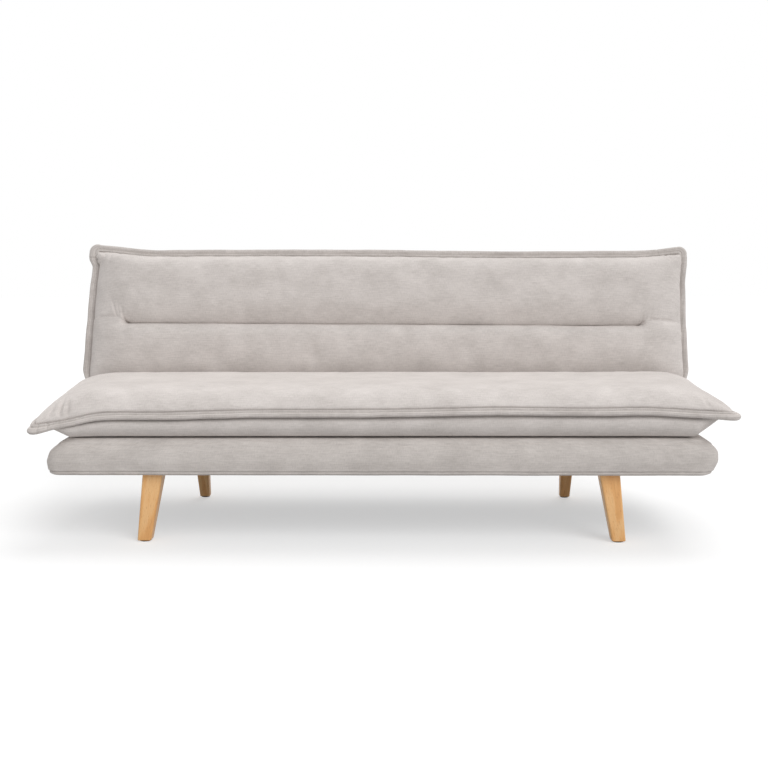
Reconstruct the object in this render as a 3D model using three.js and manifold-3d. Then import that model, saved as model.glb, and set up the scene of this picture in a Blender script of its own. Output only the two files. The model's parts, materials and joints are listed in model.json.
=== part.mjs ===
// Click clack sofa bed: an upholstered seat box on four tapered legs, a back box that folds flat,
// and a flanged pillow on each. Millimetres, +Z up, front towards -Y, left and right as seen from the front.
import * as THREE from 'three';
import { mergeVertices } from 'three/addons/utils/BufferGeometryUtils.js';
import Module from 'manifold-3d';

const wasm = await Module();
wasm.setup();

// Overall sizes
const box_width = 1862;
const pillow_overhang = 44;
const box_height = 102;
const leg_height = 195;
const seat_depth = 560;
const back_length = 488;
const pillow_crown = 137;

// Folding: the hinge line lies between the two boxes, a little above their upholstered faces
const upright_lean_deg = 17.5;
const forward_swing_deg = 8;
const hinge_above_box = 16;
const seat_to_hinge = 27;
const back_below_hinge = 11.5;

// Clearances
const seat_gap = 0.3;
const running_gap = 0.3;
const cut_overrun = 20;

// Frame timber
const rail_thickness = 25;
const rear_rail_thickness = 32;
const rail_drop = 24;
const stretcher_width = 100;
const stretcher_height = 40;
const centre_rail_width = 35;
const centre_rail_height = 55;

// Upholstery over the frame
const padding_thickness = 26;
const end_padding_thickness = 39;
const deck_thickness = 14;
const cover_thickness = 2;
const box_corner_radius = 40;
const corner_steps = 4;
const deck_side_inset = 55;
const slot_beside_back = 11.6;
const slot_beside_seat = 7;
const box_side_round = 53;
const box_front_round = 24;
const box_hinge_round = 6;

// Springs
const wire_radius = 1.9;
const seat_spring_count = 5;
const back_spring_count = 3;
const spring_reach = 25;
const spring_wave = 52;
const spring_crown = 5.5;
const steps_per_wave = 8;
const spring_field_share = 0.78;

// Pillows
const flange_width = 20;
const flange_thickness = 5;
const hinge_flange_width = 6;
const front_overhang = 12;
const top_overhang = 19.5;
const seam_height = 72;
const corner_droop = 18;
const seat_corner_ear = 12;
const back_corner_ear = 20;
const contact_inset = 89;
const end_round = 200;
const outer_round = 120;
const underside_round = 52;
const channel_depth = 42;
const channel_half_width = 46;
const channel_from_hinge = 249;
const lip_from_hinge = 30;

// Legs
const front_leg_top = 57;
const front_leg_foot = 39;
const rear_leg_top = 46;
const rear_leg_foot = 32;
const leg_edge_radius = 5;
const front_leg_from_end = 294;
const front_leg_splay = 29;
const front_leg_from_front = 60;
const front_leg_lean = 10;
const rear_leg_from_end = 344;
const rear_leg_splay = 3;
const rear_leg_rake = 78;
const glide_radius_share = 0.42;
const glide_height = 3.4;
const bolt_radius = 4;
const bolt_in_frame = 38;
const bolt_in_leg = 26;

// Ratchet hinge
const plate_thickness = 4;
const plate_gap = 0.5;
const pin_radius = 5;
const boss_radius = 13;
const tooth_tip_radius = 32;
const tooth_root_radius = 27;
const click_count = 6;
const tooth_flank_deg = 4;
const plate_reach = 150;
const arm_reach = 170;
const pawl_pivot_out = 31;
const pawl_pivot_down = 38;
const pawl_boss_radius = 7;
const pawl_pin_radius = 3;
const pawl_lift_deg = 12;
const rivet_head_height = 1.8;
const bolt_head_radius = 7;
const bolt_head_height = 2;
const leaf_thickness = 1;

// Places worked out from the sizes above, measured from the hinge line
const fold_deg = 90 - upright_lean_deg;
const face_z = -hinge_above_box;
const base_z = face_z - box_height;
const floor_z = base_z - leg_height;
const rail_top = face_z - rail_drop;
const rail_bottom = base_z + cover_thickness + seat_gap;
const box_half = box_width / 2;
const cavity_half = box_half - end_padding_thickness;
const back_rail_half = cavity_half - slot_beside_back;
const seat_rail_half = cavity_half - slot_beside_seat;
const seam_half = box_half + pillow_overhang - flange_width;
const front_leg_x = box_half - front_leg_from_end;
const rear_leg_x = box_half - rear_leg_from_end;
const rear_rail_middle = seat_to_hinge + padding_thickness + seat_gap + rear_rail_thickness / 2;
const seat_front = seat_to_hinge + seat_depth;
const back_top = back_length - back_below_hinge;
const seat_pillow_reach = seat_front + front_overhang;
const back_pillow_reach = back_top + top_overhang;
const pillow_bottom = face_z + seat_gap;
const seat_plate_x = seat_rail_half + running_gap;
const arm_x = seat_plate_x - plate_gap - plate_thickness;

const fabric = new THREE.MeshStandardMaterial({ color: 0xcbc3bc, roughness: 0.95, metalness: 0 });
const timber = new THREE.MeshStandardMaterial({ color: 0xc8a878, roughness: 0.8, metalness: 0 });
const legWood = new THREE.MeshStandardMaterial({ color: 0xdcb07c, roughness: 0.5, metalness: 0 });
const steel = new THREE.MeshStandardMaterial({ color: 0x9a9c9f, roughness: 0.4, metalness: 1 });
const blackCloth = new THREE.MeshStandardMaterial({ color: 0x26262a, roughness: 1, metalness: 0 });
const nylon = new THREE.MeshStandardMaterial({ color: 0x1c1c1e, roughness: 0.6, metalness: 0 });

const radians = (degrees) => degrees * Math.PI / 180;
const mix = (a, b, share) => a + (b - a) * share;

// Both noses stay behind the plane halfway between the boxes when the back swings fully forward
const nose_slope = Math.tan(radians((fold_deg + forward_swing_deg) / 2));

// A closed mesh from a geometry, with its shared corners merged
function merged(geometry) {
  const plain = geometry.clone();
  plain.deleteAttribute('normal');
  plain.deleteAttribute('uv');
  return mergeVertices(plain, 1e-4);
}

function solidOf(geometry) {
  const plain = merged(geometry);
  const vertProperties = new Float32Array(plain.attributes.position.array);
  const triVerts = new Uint32Array(plain.index.array);
  return new wasm.Manifold(new wasm.Mesh({ numProp: 3, vertProperties, triVerts }));
}

function geometryOf(solid) {
  const mesh = solid.getMesh();
  const geometry = new THREE.BufferGeometry();
  geometry.setAttribute('position', new THREE.BufferAttribute(new Float32Array(mesh.vertProperties), 3));
  geometry.setIndex(new THREE.BufferAttribute(new Uint32Array(mesh.triVerts), 1));
  geometry.computeVertexNormals();
  return geometry;
}

// A geometry from points and triangles, turned so that its faces point out
function closedGeometry(points, triangles) {
  let volume = 0;
  for (const [a, b, c] of triangles) {
    const [p, q, r] = [points[a], points[b], points[c]];
    volume += p[0] * (q[1] * r[2] - q[2] * r[1]) + p[1] * (q[2] * r[0] - q[0] * r[2])
      + p[2] * (q[0] * r[1] - q[1] * r[0]);
  }
  const index = volume > 0 ? triangles : triangles.map(([a, b, c]) => [a, c, b]);
  const geometry = new THREE.BufferGeometry();
  geometry.setAttribute('position', new THREE.Float32BufferAttribute(points.flat(), 3));
  geometry.setIndex(index.flat());
  geometry.computeVertexNormals();
  return geometry;
}

// A box between two corners
function slab(x0, x1, y0, y1, z0, z1) {
  const geometry = new THREE.BoxGeometry(x1 - x0, y1 - y0, z1 - z0);
  return geometry.translate((x0 + x1) / 2, (y0 + y1) / 2, (z0 + z1) / 2);
}

// An outline in the Y-Z plane, given thickness along X from x0 to x1
function sidePlate(shape, x0, x1, curveSegments) {
  const geometry = new THREE.ExtrudeGeometry(shape, { depth: x1 - x0, bevelEnabled: false, curveSegments });
  const turn = new THREE.Matrix4().makeBasis(
    new THREE.Vector3(0, 1, 0), new THREE.Vector3(0, 0, 1), new THREE.Vector3(1, 0, 0));
  return geometry.applyMatrix4(turn).translate(x0, 0, 0);
}

// A turned piece along X: profile points are [radius, x]
function turnedAlongX(profile, segments) {
  const points = profile.map(([radius, x]) => new THREE.Vector2(radius, x));
  return new THREE.LatheGeometry(points, segments).rotateZ(-Math.PI / 2);
}

// A turned piece along Z: profile points are [radius, z], from low to high
function turnedAlongZ(profile, segments) {
  const points = profile.map(([radius, z]) => new THREE.Vector2(radius, z));
  return new THREE.LatheGeometry(points, segments).rotateX(Math.PI / 2);
}

// The corners of a rounded rectangle, anticlockwise
function roundedRectangle(x0, x1, y0, y1, radius, steps) {
  const corners = [[x1, y1, 0], [x0, y1, 1], [x0, y0, 2], [x1, y0, 3]];
  const points = [];
  for (const [x, y, quarter] of corners) {
    const centreX = x - Math.sign(x - (x0 + x1) / 2) * radius;
    const centreY = y - Math.sign(y - (y0 + y1) / 2) * radius;
    for (let step = 0; step <= steps; step += 1) {
      const angle = (quarter + step / steps) * Math.PI / 2;
      points.push([centreX + radius * Math.cos(angle), centreY + radius * Math.sin(angle)]);
    }
  }
  return points;
}

// A closed solid through rings of equal count, one above the other
function ringStack(rings) {
  const count = rings[0].length;
  const points = rings.flat();
  const triangles = [];
  for (let level = 0; level + 1 < rings.length; level += 1) {
    for (let k = 0; k < count; k += 1) {
      const a = level * count + k;
      const b = level * count + (k + 1) % count;
      triangles.push([a, b, b + count], [a, b + count, a + count]);
    }
  }
  const top = (rings.length - 1) * count;
  for (let k = 1; k + 1 < count; k += 1) {
    triangles.push([0, k + 1, k], [top, top + k, top + k + 1]);
  }
  return closedGeometry(points, triangles);
}

// Upholstered box: how far each level stands in from the widest line, as shares of the edge roundings
const box_level_shares = [0, 0.12, 0.37, 0.63, 0.84, 0.96, 1];
const box_side_shares = [0.4, 0.13, 0, 0.1, 0.42, 0.8, 1];
const box_end_shares = [0.55, 0.17, 0, 0.12, 0.5, 0.8, 1];

// The outside of a box from its hinge end to its outer end; outward is +1 for the back, -1 for the seat
function boxOutline(hingeEnd, outerEnd, outward) {
  const rings = box_level_shares.map((level, k) => {
    const side = box_half - box_side_round * box_side_shares[k];
    const near = hingeEnd + box_hinge_round * box_end_shares[k];
    const far = outerEnd - box_front_round * box_end_shares[k];
    const [y0, y1] = outward > 0 ? [near, far] : [-far, -near];
    const radius = box_corner_radius - box_front_round * box_end_shares[k] / 2;
    const z = base_z + box_height * level;
    return roundedRectangle(-side, side, y0, y1, radius, corner_steps).map(([x, y]) => [x, y, z]);
  });
  return solidOf(ringStack(rings));
}

function cutFrom(outline, x0, x1, y0, y1) {
  const block = solidOf(slab(x0, x1, y0, y1, base_z - cut_overrun, face_z + cut_overrun));
  return geometryOf(outline.intersect(block));
}

// The four foam panels round a box, as geometries keyed by place
function boxPadding(hingeEnd, outerEnd, outward, hingePanelHalf) {
  const outline = boxOutline(hingeEnd, outerEnd, outward);
  const wide = box_half + cut_overrun;
  const span = (a, b) => (outward > 0 ? [a, b] : [-b, -a]);
  const outerPanel = span(outerEnd - padding_thickness, outerEnd + cut_overrun);
  const endPanel = span(hingeEnd - cut_overrun, outerEnd - padding_thickness - seat_gap);
  const hingePanel = span(hingeEnd - cut_overrun, hingeEnd + padding_thickness);
  return {
    outer: cutFrom(outline, -wide, wide, ...outerPanel),
    left: cutFrom(outline, -wide, -cavity_half, ...endPanel),
    right: cutFrom(outline, cavity_half, wide, ...endPanel),
    hinge: cutFrom(outline, -hingePanelHalf, hingePanelHalf, ...hingePanel),
  };
}

// The wave of a no-sag spring, arched a little between the rails that it hooks over
class SpringWave extends THREE.Curve {
  constructor(x, y0, y1, waves) {
    super();
    Object.assign(this, { x, y0, y1, waves });
  }

  getPoint(t, target = new THREE.Vector3()) {
    const phase = 2 * Math.PI * this.waves * t;
    const loopFill = spring_wave / (4 * Math.PI) * Math.sin(2 * phase) * Math.sin(Math.PI * t);
    const z = rail_top + seat_gap + wire_radius + spring_crown * Math.sin(Math.PI * t);
    return target.set(this.x + spring_reach * Math.sin(phase), mix(this.y0, this.y1, t) + loopFill, z);
  }
}

function springGeometry(x, y0, y1) {
  const waves = Math.round((y1 - y0) / spring_wave);
  const section = new THREE.Shape();
  section.moveTo(wire_radius, 0);
  section.lineTo(0, wire_radius);
  section.lineTo(-wire_radius, 0);
  section.lineTo(0, -wire_radius);
  section.closePath();
  const extrudePath = new SpringWave(x, y0, y1, waves);
  return new THREE.ExtrudeGeometry(section, { steps: waves * steps_per_wave, extrudePath });
}

// Even places across the frame for a row of springs
function springPlaces(count, half) {
  return Array.from({ length: count }, (_, k) => (2 * (k + 0.5) / count - 1) * half * spring_field_share
    * count / (count - 0.5));
}

// Pillow columns, as shares of the rounded end from its seam, then of the straight middle
const column_round_shares = [0, 0.04, 0.15, 0.35, 0.62, 1];
const column_middle_shares = [0.33, 0.68];

function pillowColumns() {
  const half = [...column_round_shares.map((share) => seam_half - end_round * share),
    ...column_middle_shares.map((share) => (seam_half - end_round) * (1 - share))];
  return [...half.map((x) => -x), 0, ...half.reverse()];
}

// The slanted nose at the hinge: how far each row stands off the halfway plane, as a share of the
// pillow's crown, and its height
const nose_rows_shares = [[0.08, 0.2], [0.015, 0.39], [0.015, 0.59], [0.03, 0.77], [0.14, 0.91], [0.41, 0.98]];
const outer_rows_shares = [1, 0.64, 0.36, 0.15, 0.04, 0];
const underside_rows_shares = [[0.5, 0], [0.13, 0.1], [-0.12, 0.35], [-0.14, 0.65], [-0.04, 0.9], [0, 1]];
const flat_rows_shares = [0.16, 0.33, 0.5, 0.67, 0.84, 0.92];
const channel_rows_shares = [[-1, 0.08], [-0.3, 0.55], [0, 1], [0.3, 0.55], [1, 0.08]];

const clampShare = (share) => Math.min(Math.max(share, 0), 1);
const swell = (share) => (1 - (1 - clampShare(share)) ** 2.2) ** (1 / 2.2);

// Upper rows of a pillow along its middle, from the hinge outwards: [distance, height]
function upperRows(seamReach, channelAt) {
  const top = pillow_crown + face_z;
  const rows = [[lip_from_hinge, flange_thickness / 2]];
  for (const [off, up] of nose_rows_shares) {
    const height = mix(flange_thickness / 2, top, up);
    rows.push([height * nose_slope + pillow_crown * off, height]);
  }
  const start = rows.at(-1)[0];
  const end = seamReach - outer_round;
  if (channelAt) {
    rows.push([mix(start, channelAt - channel_half_width, 0.6), top]);
    for (const [across, dip] of channel_rows_shares) {
      rows.push([channelAt + channel_half_width * across, top - channel_depth * dip]);
    }
  } else {
    for (const share of flat_rows_shares) rows.push([mix(start, end, share), top]);
  }
  const seam = seam_height + face_z;
  for (const share of outer_rows_shares) {
    rows.push([seamReach - outer_round * share, mix(seam, top, swell(share)) + flange_thickness / 2 * (1 - share)]);
  }
  return rows;
}

// Lower rows: up from the lip, flat on the box in step with the upper rows, then round to the seam
function lowerRows(seamReach, upper) {
  const seam = seam_height + face_z;
  const lip = [[lip_from_hinge, -flange_thickness / 2], [lip_from_hinge + hinge_above_box, pillow_bottom]];
  const tail = underside_rows_shares.map(([inward, up]) => [seamReach - underside_round * inward,
    mix(pillow_bottom, seam - flange_thickness / 2, up)]);
  const [first, last] = [upper[lip.length - 1][0], upper[upper.length - tail.length][0]];
  const flat = upper.slice(lip.length, -tail.length).map(([distance]) => [
    mix(lip.at(-1)[0], tail[0][0], (distance - first) / (last - first)), pillow_bottom]);
  return [...lip, ...flat, ...tail];
}

const rise = (value, from, to) => clampShare((value - from) / (to - from)) ** 2;

// How strongly a place belongs to an outer corner
function cornerWeight(x, distance, seamReach) {
  return rise(Math.abs(x), seam_half * 0.8, seam_half) * rise(distance, seamReach * 0.6, seamReach);
}

// A pillow with a crown, a slanted nose at the hinge, a flange round its edge and an optional channel
function pillowGeometry(reach, outward, ear, channelAt) {
  const seamReach = reach - flange_width;
  const upper = upperRows(seamReach, channelAt);
  const lower = lowerRows(seamReach, upper);
  const columns = pillowColumns();
  const [rowCount, columnCount] = [upper.length, columns.length];
  const seamAt = (x, distance) => (seam_height + face_z) * rise(distance, lip_from_hinge, lip_from_hinge * 4)
    - corner_droop * cornerWeight(x, distance, seamReach);
  const points = [];
  const push = (x, distance, z) => points.push([x, outward * distance, z]);
  const stretch = (x, distance) => distance + ear * cornerWeight(x, distance, seamReach);

  for (const [distance, height] of upper) {
    for (const x of columns) {
      const full = swell((seam_half - Math.abs(x)) / end_round);
      const seam = Math.min(seamAt(x, distance) + flange_thickness / 2, height);
      push(x, stretch(x, distance), mix(seam, height, full));
    }
  }
  const lowerStart = points.length;
  lower.forEach(([flatDistance, height], row) => {
    for (const x of columns) {
      const lift = 1 - clampShare((seam_half - Math.abs(x)) / contact_inset) ** 0.8;
      const distance = mix(flatDistance, upper[row][0], lift);
      const seam = seamAt(x, distance) - flange_thickness / 2;
      push(x, stretch(x, distance), mix(height, seam, lift));
    }
  });
  const triangles = [];
  const cell = (a, b, c, d) => triangles.push([a, b, c], [a, c, d]);
  for (let j = 0; j + 1 < rowCount; j += 1) {
    for (let i = 0; i + 1 < columnCount; i += 1) {
      const a = j * columnCount + i;
      cell(a, a + 1, a + 1 + columnCount, a + columnCount);
      const b = lowerStart + a;
      cell(b, b + columnCount, b + 1 + columnCount, b + 1);
    }
  }
  addFlange(points, triangles, { rowCount, columnCount, lowerStart, outward });
  return closedGeometry(points, triangles);
}

// The flat double edge sewn round a pillow, between the rims of its upper and lower faces
function addFlange(points, triangles, { rowCount, columnCount, lowerStart, outward }) {
  const rim = [];
  for (let i = 0; i < columnCount; i += 1) rim.push([0, i]);
  for (let j = 1; j < rowCount; j += 1) rim.push([j, columnCount - 1]);
  for (let i = columnCount - 2; i >= 0; i -= 1) rim.push([rowCount - 1, i]);
  for (let j = rowCount - 2; j > 0; j -= 1) rim.push([j, 0]);
  const start = points.length;
  for (const [j, i] of rim) {
    const at = j * columnCount + i;
    const [upper, lower] = [points[at], points[lowerStart + at]];
    const side = i === 0 ? -1 : Number(i === columnCount - 1);
    const end = j === 0 ? -hinge_flange_width : flange_width * Number(j === rowCount - 1);
    const x = upper[0] + side * flange_width;
    const y = (upper[1] + lower[1]) / 2 + outward * end;
    const middle = (upper[2] + lower[2]) / 2;
    points.push([x, y, middle + flange_thickness / 2], [x, y, middle - flange_thickness / 2]);
  }
  rim.forEach(([j, i], k) => {
    const next = (k + 1) % rim.length;
    const [p, q] = [j * columnCount + i, rim[next][0] * columnCount + rim[next][1]];
    const [a, b] = [start + 2 * k, start + 2 * next];
    triangles.push([p, a, b], [p, b, q]);
    triangles.push([a, a + 1, b + 1], [a, b + 1, b]);
    triangles.push([a + 1, lowerStart + p, lowerStart + q], [a + 1, lowerStart + q, b + 1]);
  });
}

// A square leg with softened edges, tapering from its top to its foot
function legGeometry({ topX, topY, footX, footY, topSize, footSize }) {
  const top = base_z - seat_gap;
  const foot = floor_z + glide_height + seat_gap;
  const level_shares = [0, 0.02, 0.5, 0.98, 1];
  const pinch_shares = [0.06, 0, 0, 0, 0.04];
  const rings = level_shares.map((share, k) => {
    const [x, y] = [mix(footX, topX, share), mix(footY, topY, share)];
    const size = mix(footSize, topSize, share) * (1 - pinch_shares[k]);
    const ring = roundedRectangle(x - size / 2, x + size / 2, y - size / 2, y + size / 2, leg_edge_radius, 2);
    return ring.map(([px, py]) => [px, py, mix(foot, top, share)]);
  });
  const bore = turnedAlongZ([[0, top - bolt_in_leg], [bolt_radius + running_gap, top - bolt_in_leg],
    [bolt_radius + running_gap, top + cut_overrun], [0, top + cut_overrun]], 12).translate(topX, topY, 0);
  return geometryOf(solidOf(ringStack(rings)).subtract(solidOf(bore)));
}

function boltGeometry(x, y) {
  const chamfer = bolt_radius / 4;
  const low = base_z - bolt_in_leg;
  const high = base_z + bolt_in_frame;
  return turnedAlongZ([[0, low], [bolt_radius - chamfer, low], [bolt_radius, low + chamfer],
    [bolt_radius, high - chamfer], [bolt_radius - chamfer, high], [0, high]], 12).translate(x, y, 0);
}

function glideGeometry(x, y, size) {
  const radius = size * glide_radius_share;
  const chamfer = glide_height / 4;
  return turnedAlongZ([[0, floor_z], [radius - chamfer, floor_z], [radius, floor_z + chamfer],
    [radius, floor_z + glide_height], [0, floor_z + glide_height]], 16).translate(x, y, 0);
}

// Bores for the leg bolts through a piece of the frame
function withBoltBores(geometry, places, top) {
  let solid = solidOf(geometry);
  for (const [x, y] of places) {
    const radius = bolt_radius + running_gap;
    const bore = turnedAlongZ([[0, base_z - cut_overrun], [radius, base_z - cut_overrun], [radius, top], [0, top]], 12);
    solid = solid.subtract(solidOf(bore.translate(x, y, 0)));
  }
  return geometryOf(solid);
}

const polar = (radius, degrees) => [radius * Math.cos(radians(degrees)), radius * Math.sin(radians(degrees))];

// Seat side of the ratchet hinge: a stamped plate with a toothed rim behind the hinge pin
function seatHingeShape() {
  const pitch = fold_deg / click_count;
  const firstFlank = -upright_lean_deg - fold_deg - tooth_flank_deg;
  const shape = new THREE.Shape();
  shape.moveTo(-plate_reach, rail_bottom + stretcher_height);
  shape.lineTo(-plate_reach, rail_top - seat_gap);
  shape.lineTo(-seat_to_hinge - padding_thickness, rail_top + rail_drop / 2);
  shape.lineTo(-boss_radius * 1.4, -boss_radius * 0.8);
  shape.absarc(0, 0, boss_radius, radians(190), radians(0), true);
  shape.lineTo(...polar(tooth_root_radius, firstFlank + pitch * (click_count + 0.5)));
  for (let click = click_count; click >= 0; click -= 1) {
    const flank = firstFlank + pitch * click;
    if (click < click_count) shape.lineTo(...polar(tooth_tip_radius, flank + pitch));
    shape.lineTo(...polar(tooth_root_radius, flank + tooth_flank_deg / 2));
  }
  shape.lineTo(...polar(tooth_tip_radius, firstFlank));
  shape.lineTo(...polar(tooth_tip_radius, firstFlank - pitch));
  shape.lineTo(-seat_to_hinge - padding_thickness, -boss_radius * 4);
  shape.closePath();
  const hole = new THREE.Path();
  hole.absarc(0, 0, pin_radius + running_gap / 4, 0, 2 * Math.PI, false);
  shape.holes.push(hole);
  return shape;
}

// Back side: a cranked arm from the pin to the side rail of the back
function backArmShape() {
  const shape = new THREE.Shape();
  const low = face_z - rail_drop - rail_thickness * 2;
  shape.absarc(0, 0, boss_radius, radians(90), radians(200), false);
  shape.lineTo(boss_radius, low + boss_radius);
  shape.lineTo(pawl_pivot_out, low);
  shape.lineTo(arm_reach, low);
  shape.lineTo(arm_reach, rail_top - seat_gap);
  shape.lineTo(rail_thickness * 2.2, rail_top);
  shape.lineTo(boss_radius * 1.5, -boss_radius * 0.5);
  shape.closePath();
  const hole = new THREE.Path();
  hole.absarc(0, 0, pin_radius + running_gap / 4, 0, 2 * Math.PI, false);
  const pawlHole = new THREE.Path();
  pawlHole.absarc(pawl_pivot_out, -pawl_pivot_down, pawl_pin_radius + running_gap / 4, 0, 2 * Math.PI, false);
  shape.holes.push(hole, pawlHole);
  return shape;
}

// The pawl's nose, from its point along its upper edge, then its heel, as shares of the tooth tips' radius
const pawl_nose_shares = [[-0.025, 0.865], [0.106, 0.99], [0.31, 1.06]];
const pawl_heel_shares = [-0.04, 1.28];

// The pawl as it lies with its nose in a notch, round its own pin
function pawlShape() {
  const place = ([out, down]) => [tooth_tip_radius * out - pawl_pivot_out, pawl_pivot_down - tooth_tip_radius * down];
  const shape = new THREE.Shape();
  const [point, ...edge] = pawl_nose_shares.map(place);
  shape.moveTo(...point);
  for (const corner of edge) shape.lineTo(...corner);
  shape.absarc(0, 0, pawl_boss_radius, radians(110), radians(-100), true);
  shape.lineTo(...place(pawl_heel_shares));
  shape.closePath();
  const hole = new THREE.Path();
  hole.absarc(0, 0, pawl_pin_radius + running_gap / 4, 0, 2 * Math.PI, false);
  shape.holes.push(hole);
  return shape;
}

// Rivets and pins along X, with a head at each end that the profile asks for
function rivetGeometry(radius, x0, x1, headIn, headOut) {
  const head = radius * 1.6;
  const profile = [[0, x0 - headIn]];
  if (headIn > 0) profile.push([head * 0.8, x0 - headIn], [head, x0]);
  profile.push([radius, x0], [radius, x1]);
  if (headOut > 0) profile.push([head, x1], [head * 0.8, x1 + headOut]);
  profile.push([0, x1 + headOut]);
  return turnedAlongX(profile, 20);
}

// Hinge plates carry the domed heads of the bolts that hold them to the timber
function withBoltHeads(geometry, places, face) {
  let solid = solidOf(geometry);
  for (const [y, z] of places) {
    const head = turnedAlongX([[0, face - seat_gap], [bolt_head_radius, face - seat_gap],
      [bolt_head_radius, face + bolt_head_height / 2], [bolt_head_radius / 2, face + bolt_head_height],
      [0, face + bolt_head_height]], 12);
    solid = solid.add(solidOf(outwardFacing(head.translate(0, y, z))));
  }
  return geometryOf(solid);
}

// The leaf spring behind the pawl: a tab on the arm and a long thin tongue
function leafShape() {
  const tab = boss_radius;
  const [rootY, rootZ] = [pawl_pivot_out + tab * 3.6, -pawl_pivot_down - tab * 1.9];
  const [tipY, tipZ] = [tab * 0.8, -pawl_pivot_down - tab * 0.82];
  const shape = new THREE.Shape();
  shape.moveTo(tipY, tipZ);
  shape.quadraticCurveTo(pawl_pivot_out, tipZ - tab / 4, rootY, rootZ + leaf_thickness);
  shape.lineTo(rootY + tab, rootZ + leaf_thickness);
  shape.lineTo(rootY + tab, rootZ - tab);
  shape.lineTo(rootY, rootZ - tab);
  shape.lineTo(rootY, rootZ);
  shape.quadraticCurveTo(pawl_pivot_out, tipZ - tab / 4 - leaf_thickness, tipY, tipZ - leaf_thickness);
  shape.closePath();
  return shape;
}

// A geometry with its corners merged and its faces turned out
function outwardFacing(geometry) {
  const plain = merged(geometry);
  const at = plain.attributes.position;
  const points = Array.from({ length: at.count }, (_, k) => [at.getX(k), at.getY(k), at.getZ(k)]);
  const index = Array.from(plain.index.array);
  const triangles = [];
  for (let k = 0; k < index.length; k += 3) triangles.push(index.slice(k, k + 3));
  return closedGeometry(points, triangles);
}

const sofa = new THREE.Group();
const seat = new THREE.Group();
const back = new THREE.Group();
back.rotation.x = radians(fold_deg);
sofa.add(seat, back);

function piece(group, name, geometry, material) {
  const mesh = new THREE.Mesh(outwardFacing(geometry), material);
  mesh.name = name;
  group.add(mesh);
  return mesh;
}

const sides = [['left', -1], ['right', 1]];

// A copy for the other side is mirrored in its points, so the mesh itself keeps a plain place
function sided(geometry, side) {
  return side < 0 ? geometry.clone().scale(-1, 1, 1) : geometry;
}

// Rails, cross pieces, springs, deck and bottom cloth of one box
function addBox(group, box) {
  const { prefix, hingeEnd, outerEnd, outward, railHalf, hingeRail, springCount, outerName, hingeName } = box;
  const flip = (a, b) => (outward > 0 ? [a, b] : [-b, -a]);
  const inner = [hingeEnd + padding_thickness + seat_gap, outerEnd - padding_thickness - seat_gap];
  const between = railHalf - rail_thickness - seat_gap;
  const hingeSpan = flip(inner[0], inner[0] + hingeRail);
  const outerSpan = flip(inner[1] - rail_thickness, inner[1]);
  const bores = box.bores ?? [];
  const boreTop = base_z + bolt_in_frame + seat_gap;
  for (const [name, side] of sides) {
    const [x0, x1] = side > 0 ? [railHalf - rail_thickness, railHalf] : [-railHalf, -railHalf + rail_thickness];
    piece(group, `${prefix}_${name}_rail`, slab(x0, x1, ...flip(...inner), rail_bottom, rail_top), timber);
  }
  const hingeRailBody = slab(-between, between, ...hingeSpan, rail_bottom, rail_top);
  piece(group, `${prefix}_${hingeName}_rail`, withBoltBores(hingeRailBody, box.railBores ?? [], boreTop), timber);
  piece(group, `${prefix}_${outerName}_rail`, slab(-between, between, ...outerSpan, rail_bottom, rail_top), timber);
  const clear = flip(inner[0] + hingeRail + seat_gap, inner[1] - rail_thickness - seat_gap);
  const centre = slab(-centre_rail_width / 2, centre_rail_width / 2, ...clear,
    rail_bottom, rail_bottom + centre_rail_height);
  piece(group, `${prefix}_centre_rail`, centre, timber);
  for (const [name, x] of box.stretchers ?? []) {
    const cross = slab(x - stretcher_width / 2, x + stretcher_width / 2, ...clear,
      rail_bottom, rail_bottom + stretcher_height);
    const own = bores.filter(([boreX, boreY]) => Math.abs(boreX - x) < stretcher_width / 2
      && boreY > clear[0] && boreY < clear[1]);
    piece(group, `${prefix}_${name}_stretcher`, withBoltBores(cross, own, boreTop), timber);
  }
  const [near, far] = flip(inner[0] + hingeRail / 2, inner[1] - rail_thickness / 2);
  springPlaces(springCount, between).forEach((x, k) => {
    piece(group, `${prefix}_spring_${k + 1}`, springGeometry(x, near, far), steel);
  });
  const deckHalf = box_half - deck_side_inset;
  const deck = slab(-deckHalf, deckHalf, ...flip(...inner), face_z - deck_thickness, face_z);
  piece(group, `${prefix}_deck_pad`, deck, fabric);
  const coverHalf = cavity_half - seat_gap;
  const cloth = slab(-coverHalf, coverHalf, ...flip(...inner), base_z, base_z + cover_thickness);
  piece(group, box.clothName, withBoltBores(cloth, bores, boreTop), box.clothMaterial);
  const padding = boxPadding(hingeEnd, outerEnd, outward, railHalf);
  piece(group, `${prefix}_${outerName}_padding`, padding.outer, fabric);
  piece(group, `${prefix}_${hingeName}_padding`, padding.hinge, fabric);
  piece(group, `${prefix}_left_padding`, padding.left, fabric);
  piece(group, `${prefix}_right_padding`, padding.right, fabric);
}

// Legs, their bolts and their glides
function addLegs(group, legs) {
  for (const [name, leg] of legs) {
    piece(group, `${name}_leg`, legGeometry(leg), legWood);
    piece(group, `${name}_leg_bolt`, boltGeometry(leg.topX, leg.topY), steel);
    piece(group, `${name}_glide`, glideGeometry(leg.footX, leg.footY, leg.footSize), nylon);
  }
}

// The front legs splay outwards and forwards, the rear legs bolt to the rear rail and rake backwards
const frontLegY = front_leg_from_front - seat_front;
const legs = sides.flatMap(([name, side]) => [
  [`front_${name}`, {
    topX: side * front_leg_x, topY: frontLegY, topSize: front_leg_top,
    footX: side * (front_leg_x + front_leg_splay), footY: frontLegY - front_leg_lean, footSize: front_leg_foot,
  }],
  [`rear_${name}`, {
    topX: side * rear_leg_x, topY: -rear_rail_middle, topSize: rear_leg_top,
    footX: side * (rear_leg_x + rear_leg_splay), footY: rear_leg_rake - rear_rail_middle, footSize: rear_leg_foot,
  }],
]);
const legPlaces = legs.map(([, leg]) => [leg.topX, leg.topY]);

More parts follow.
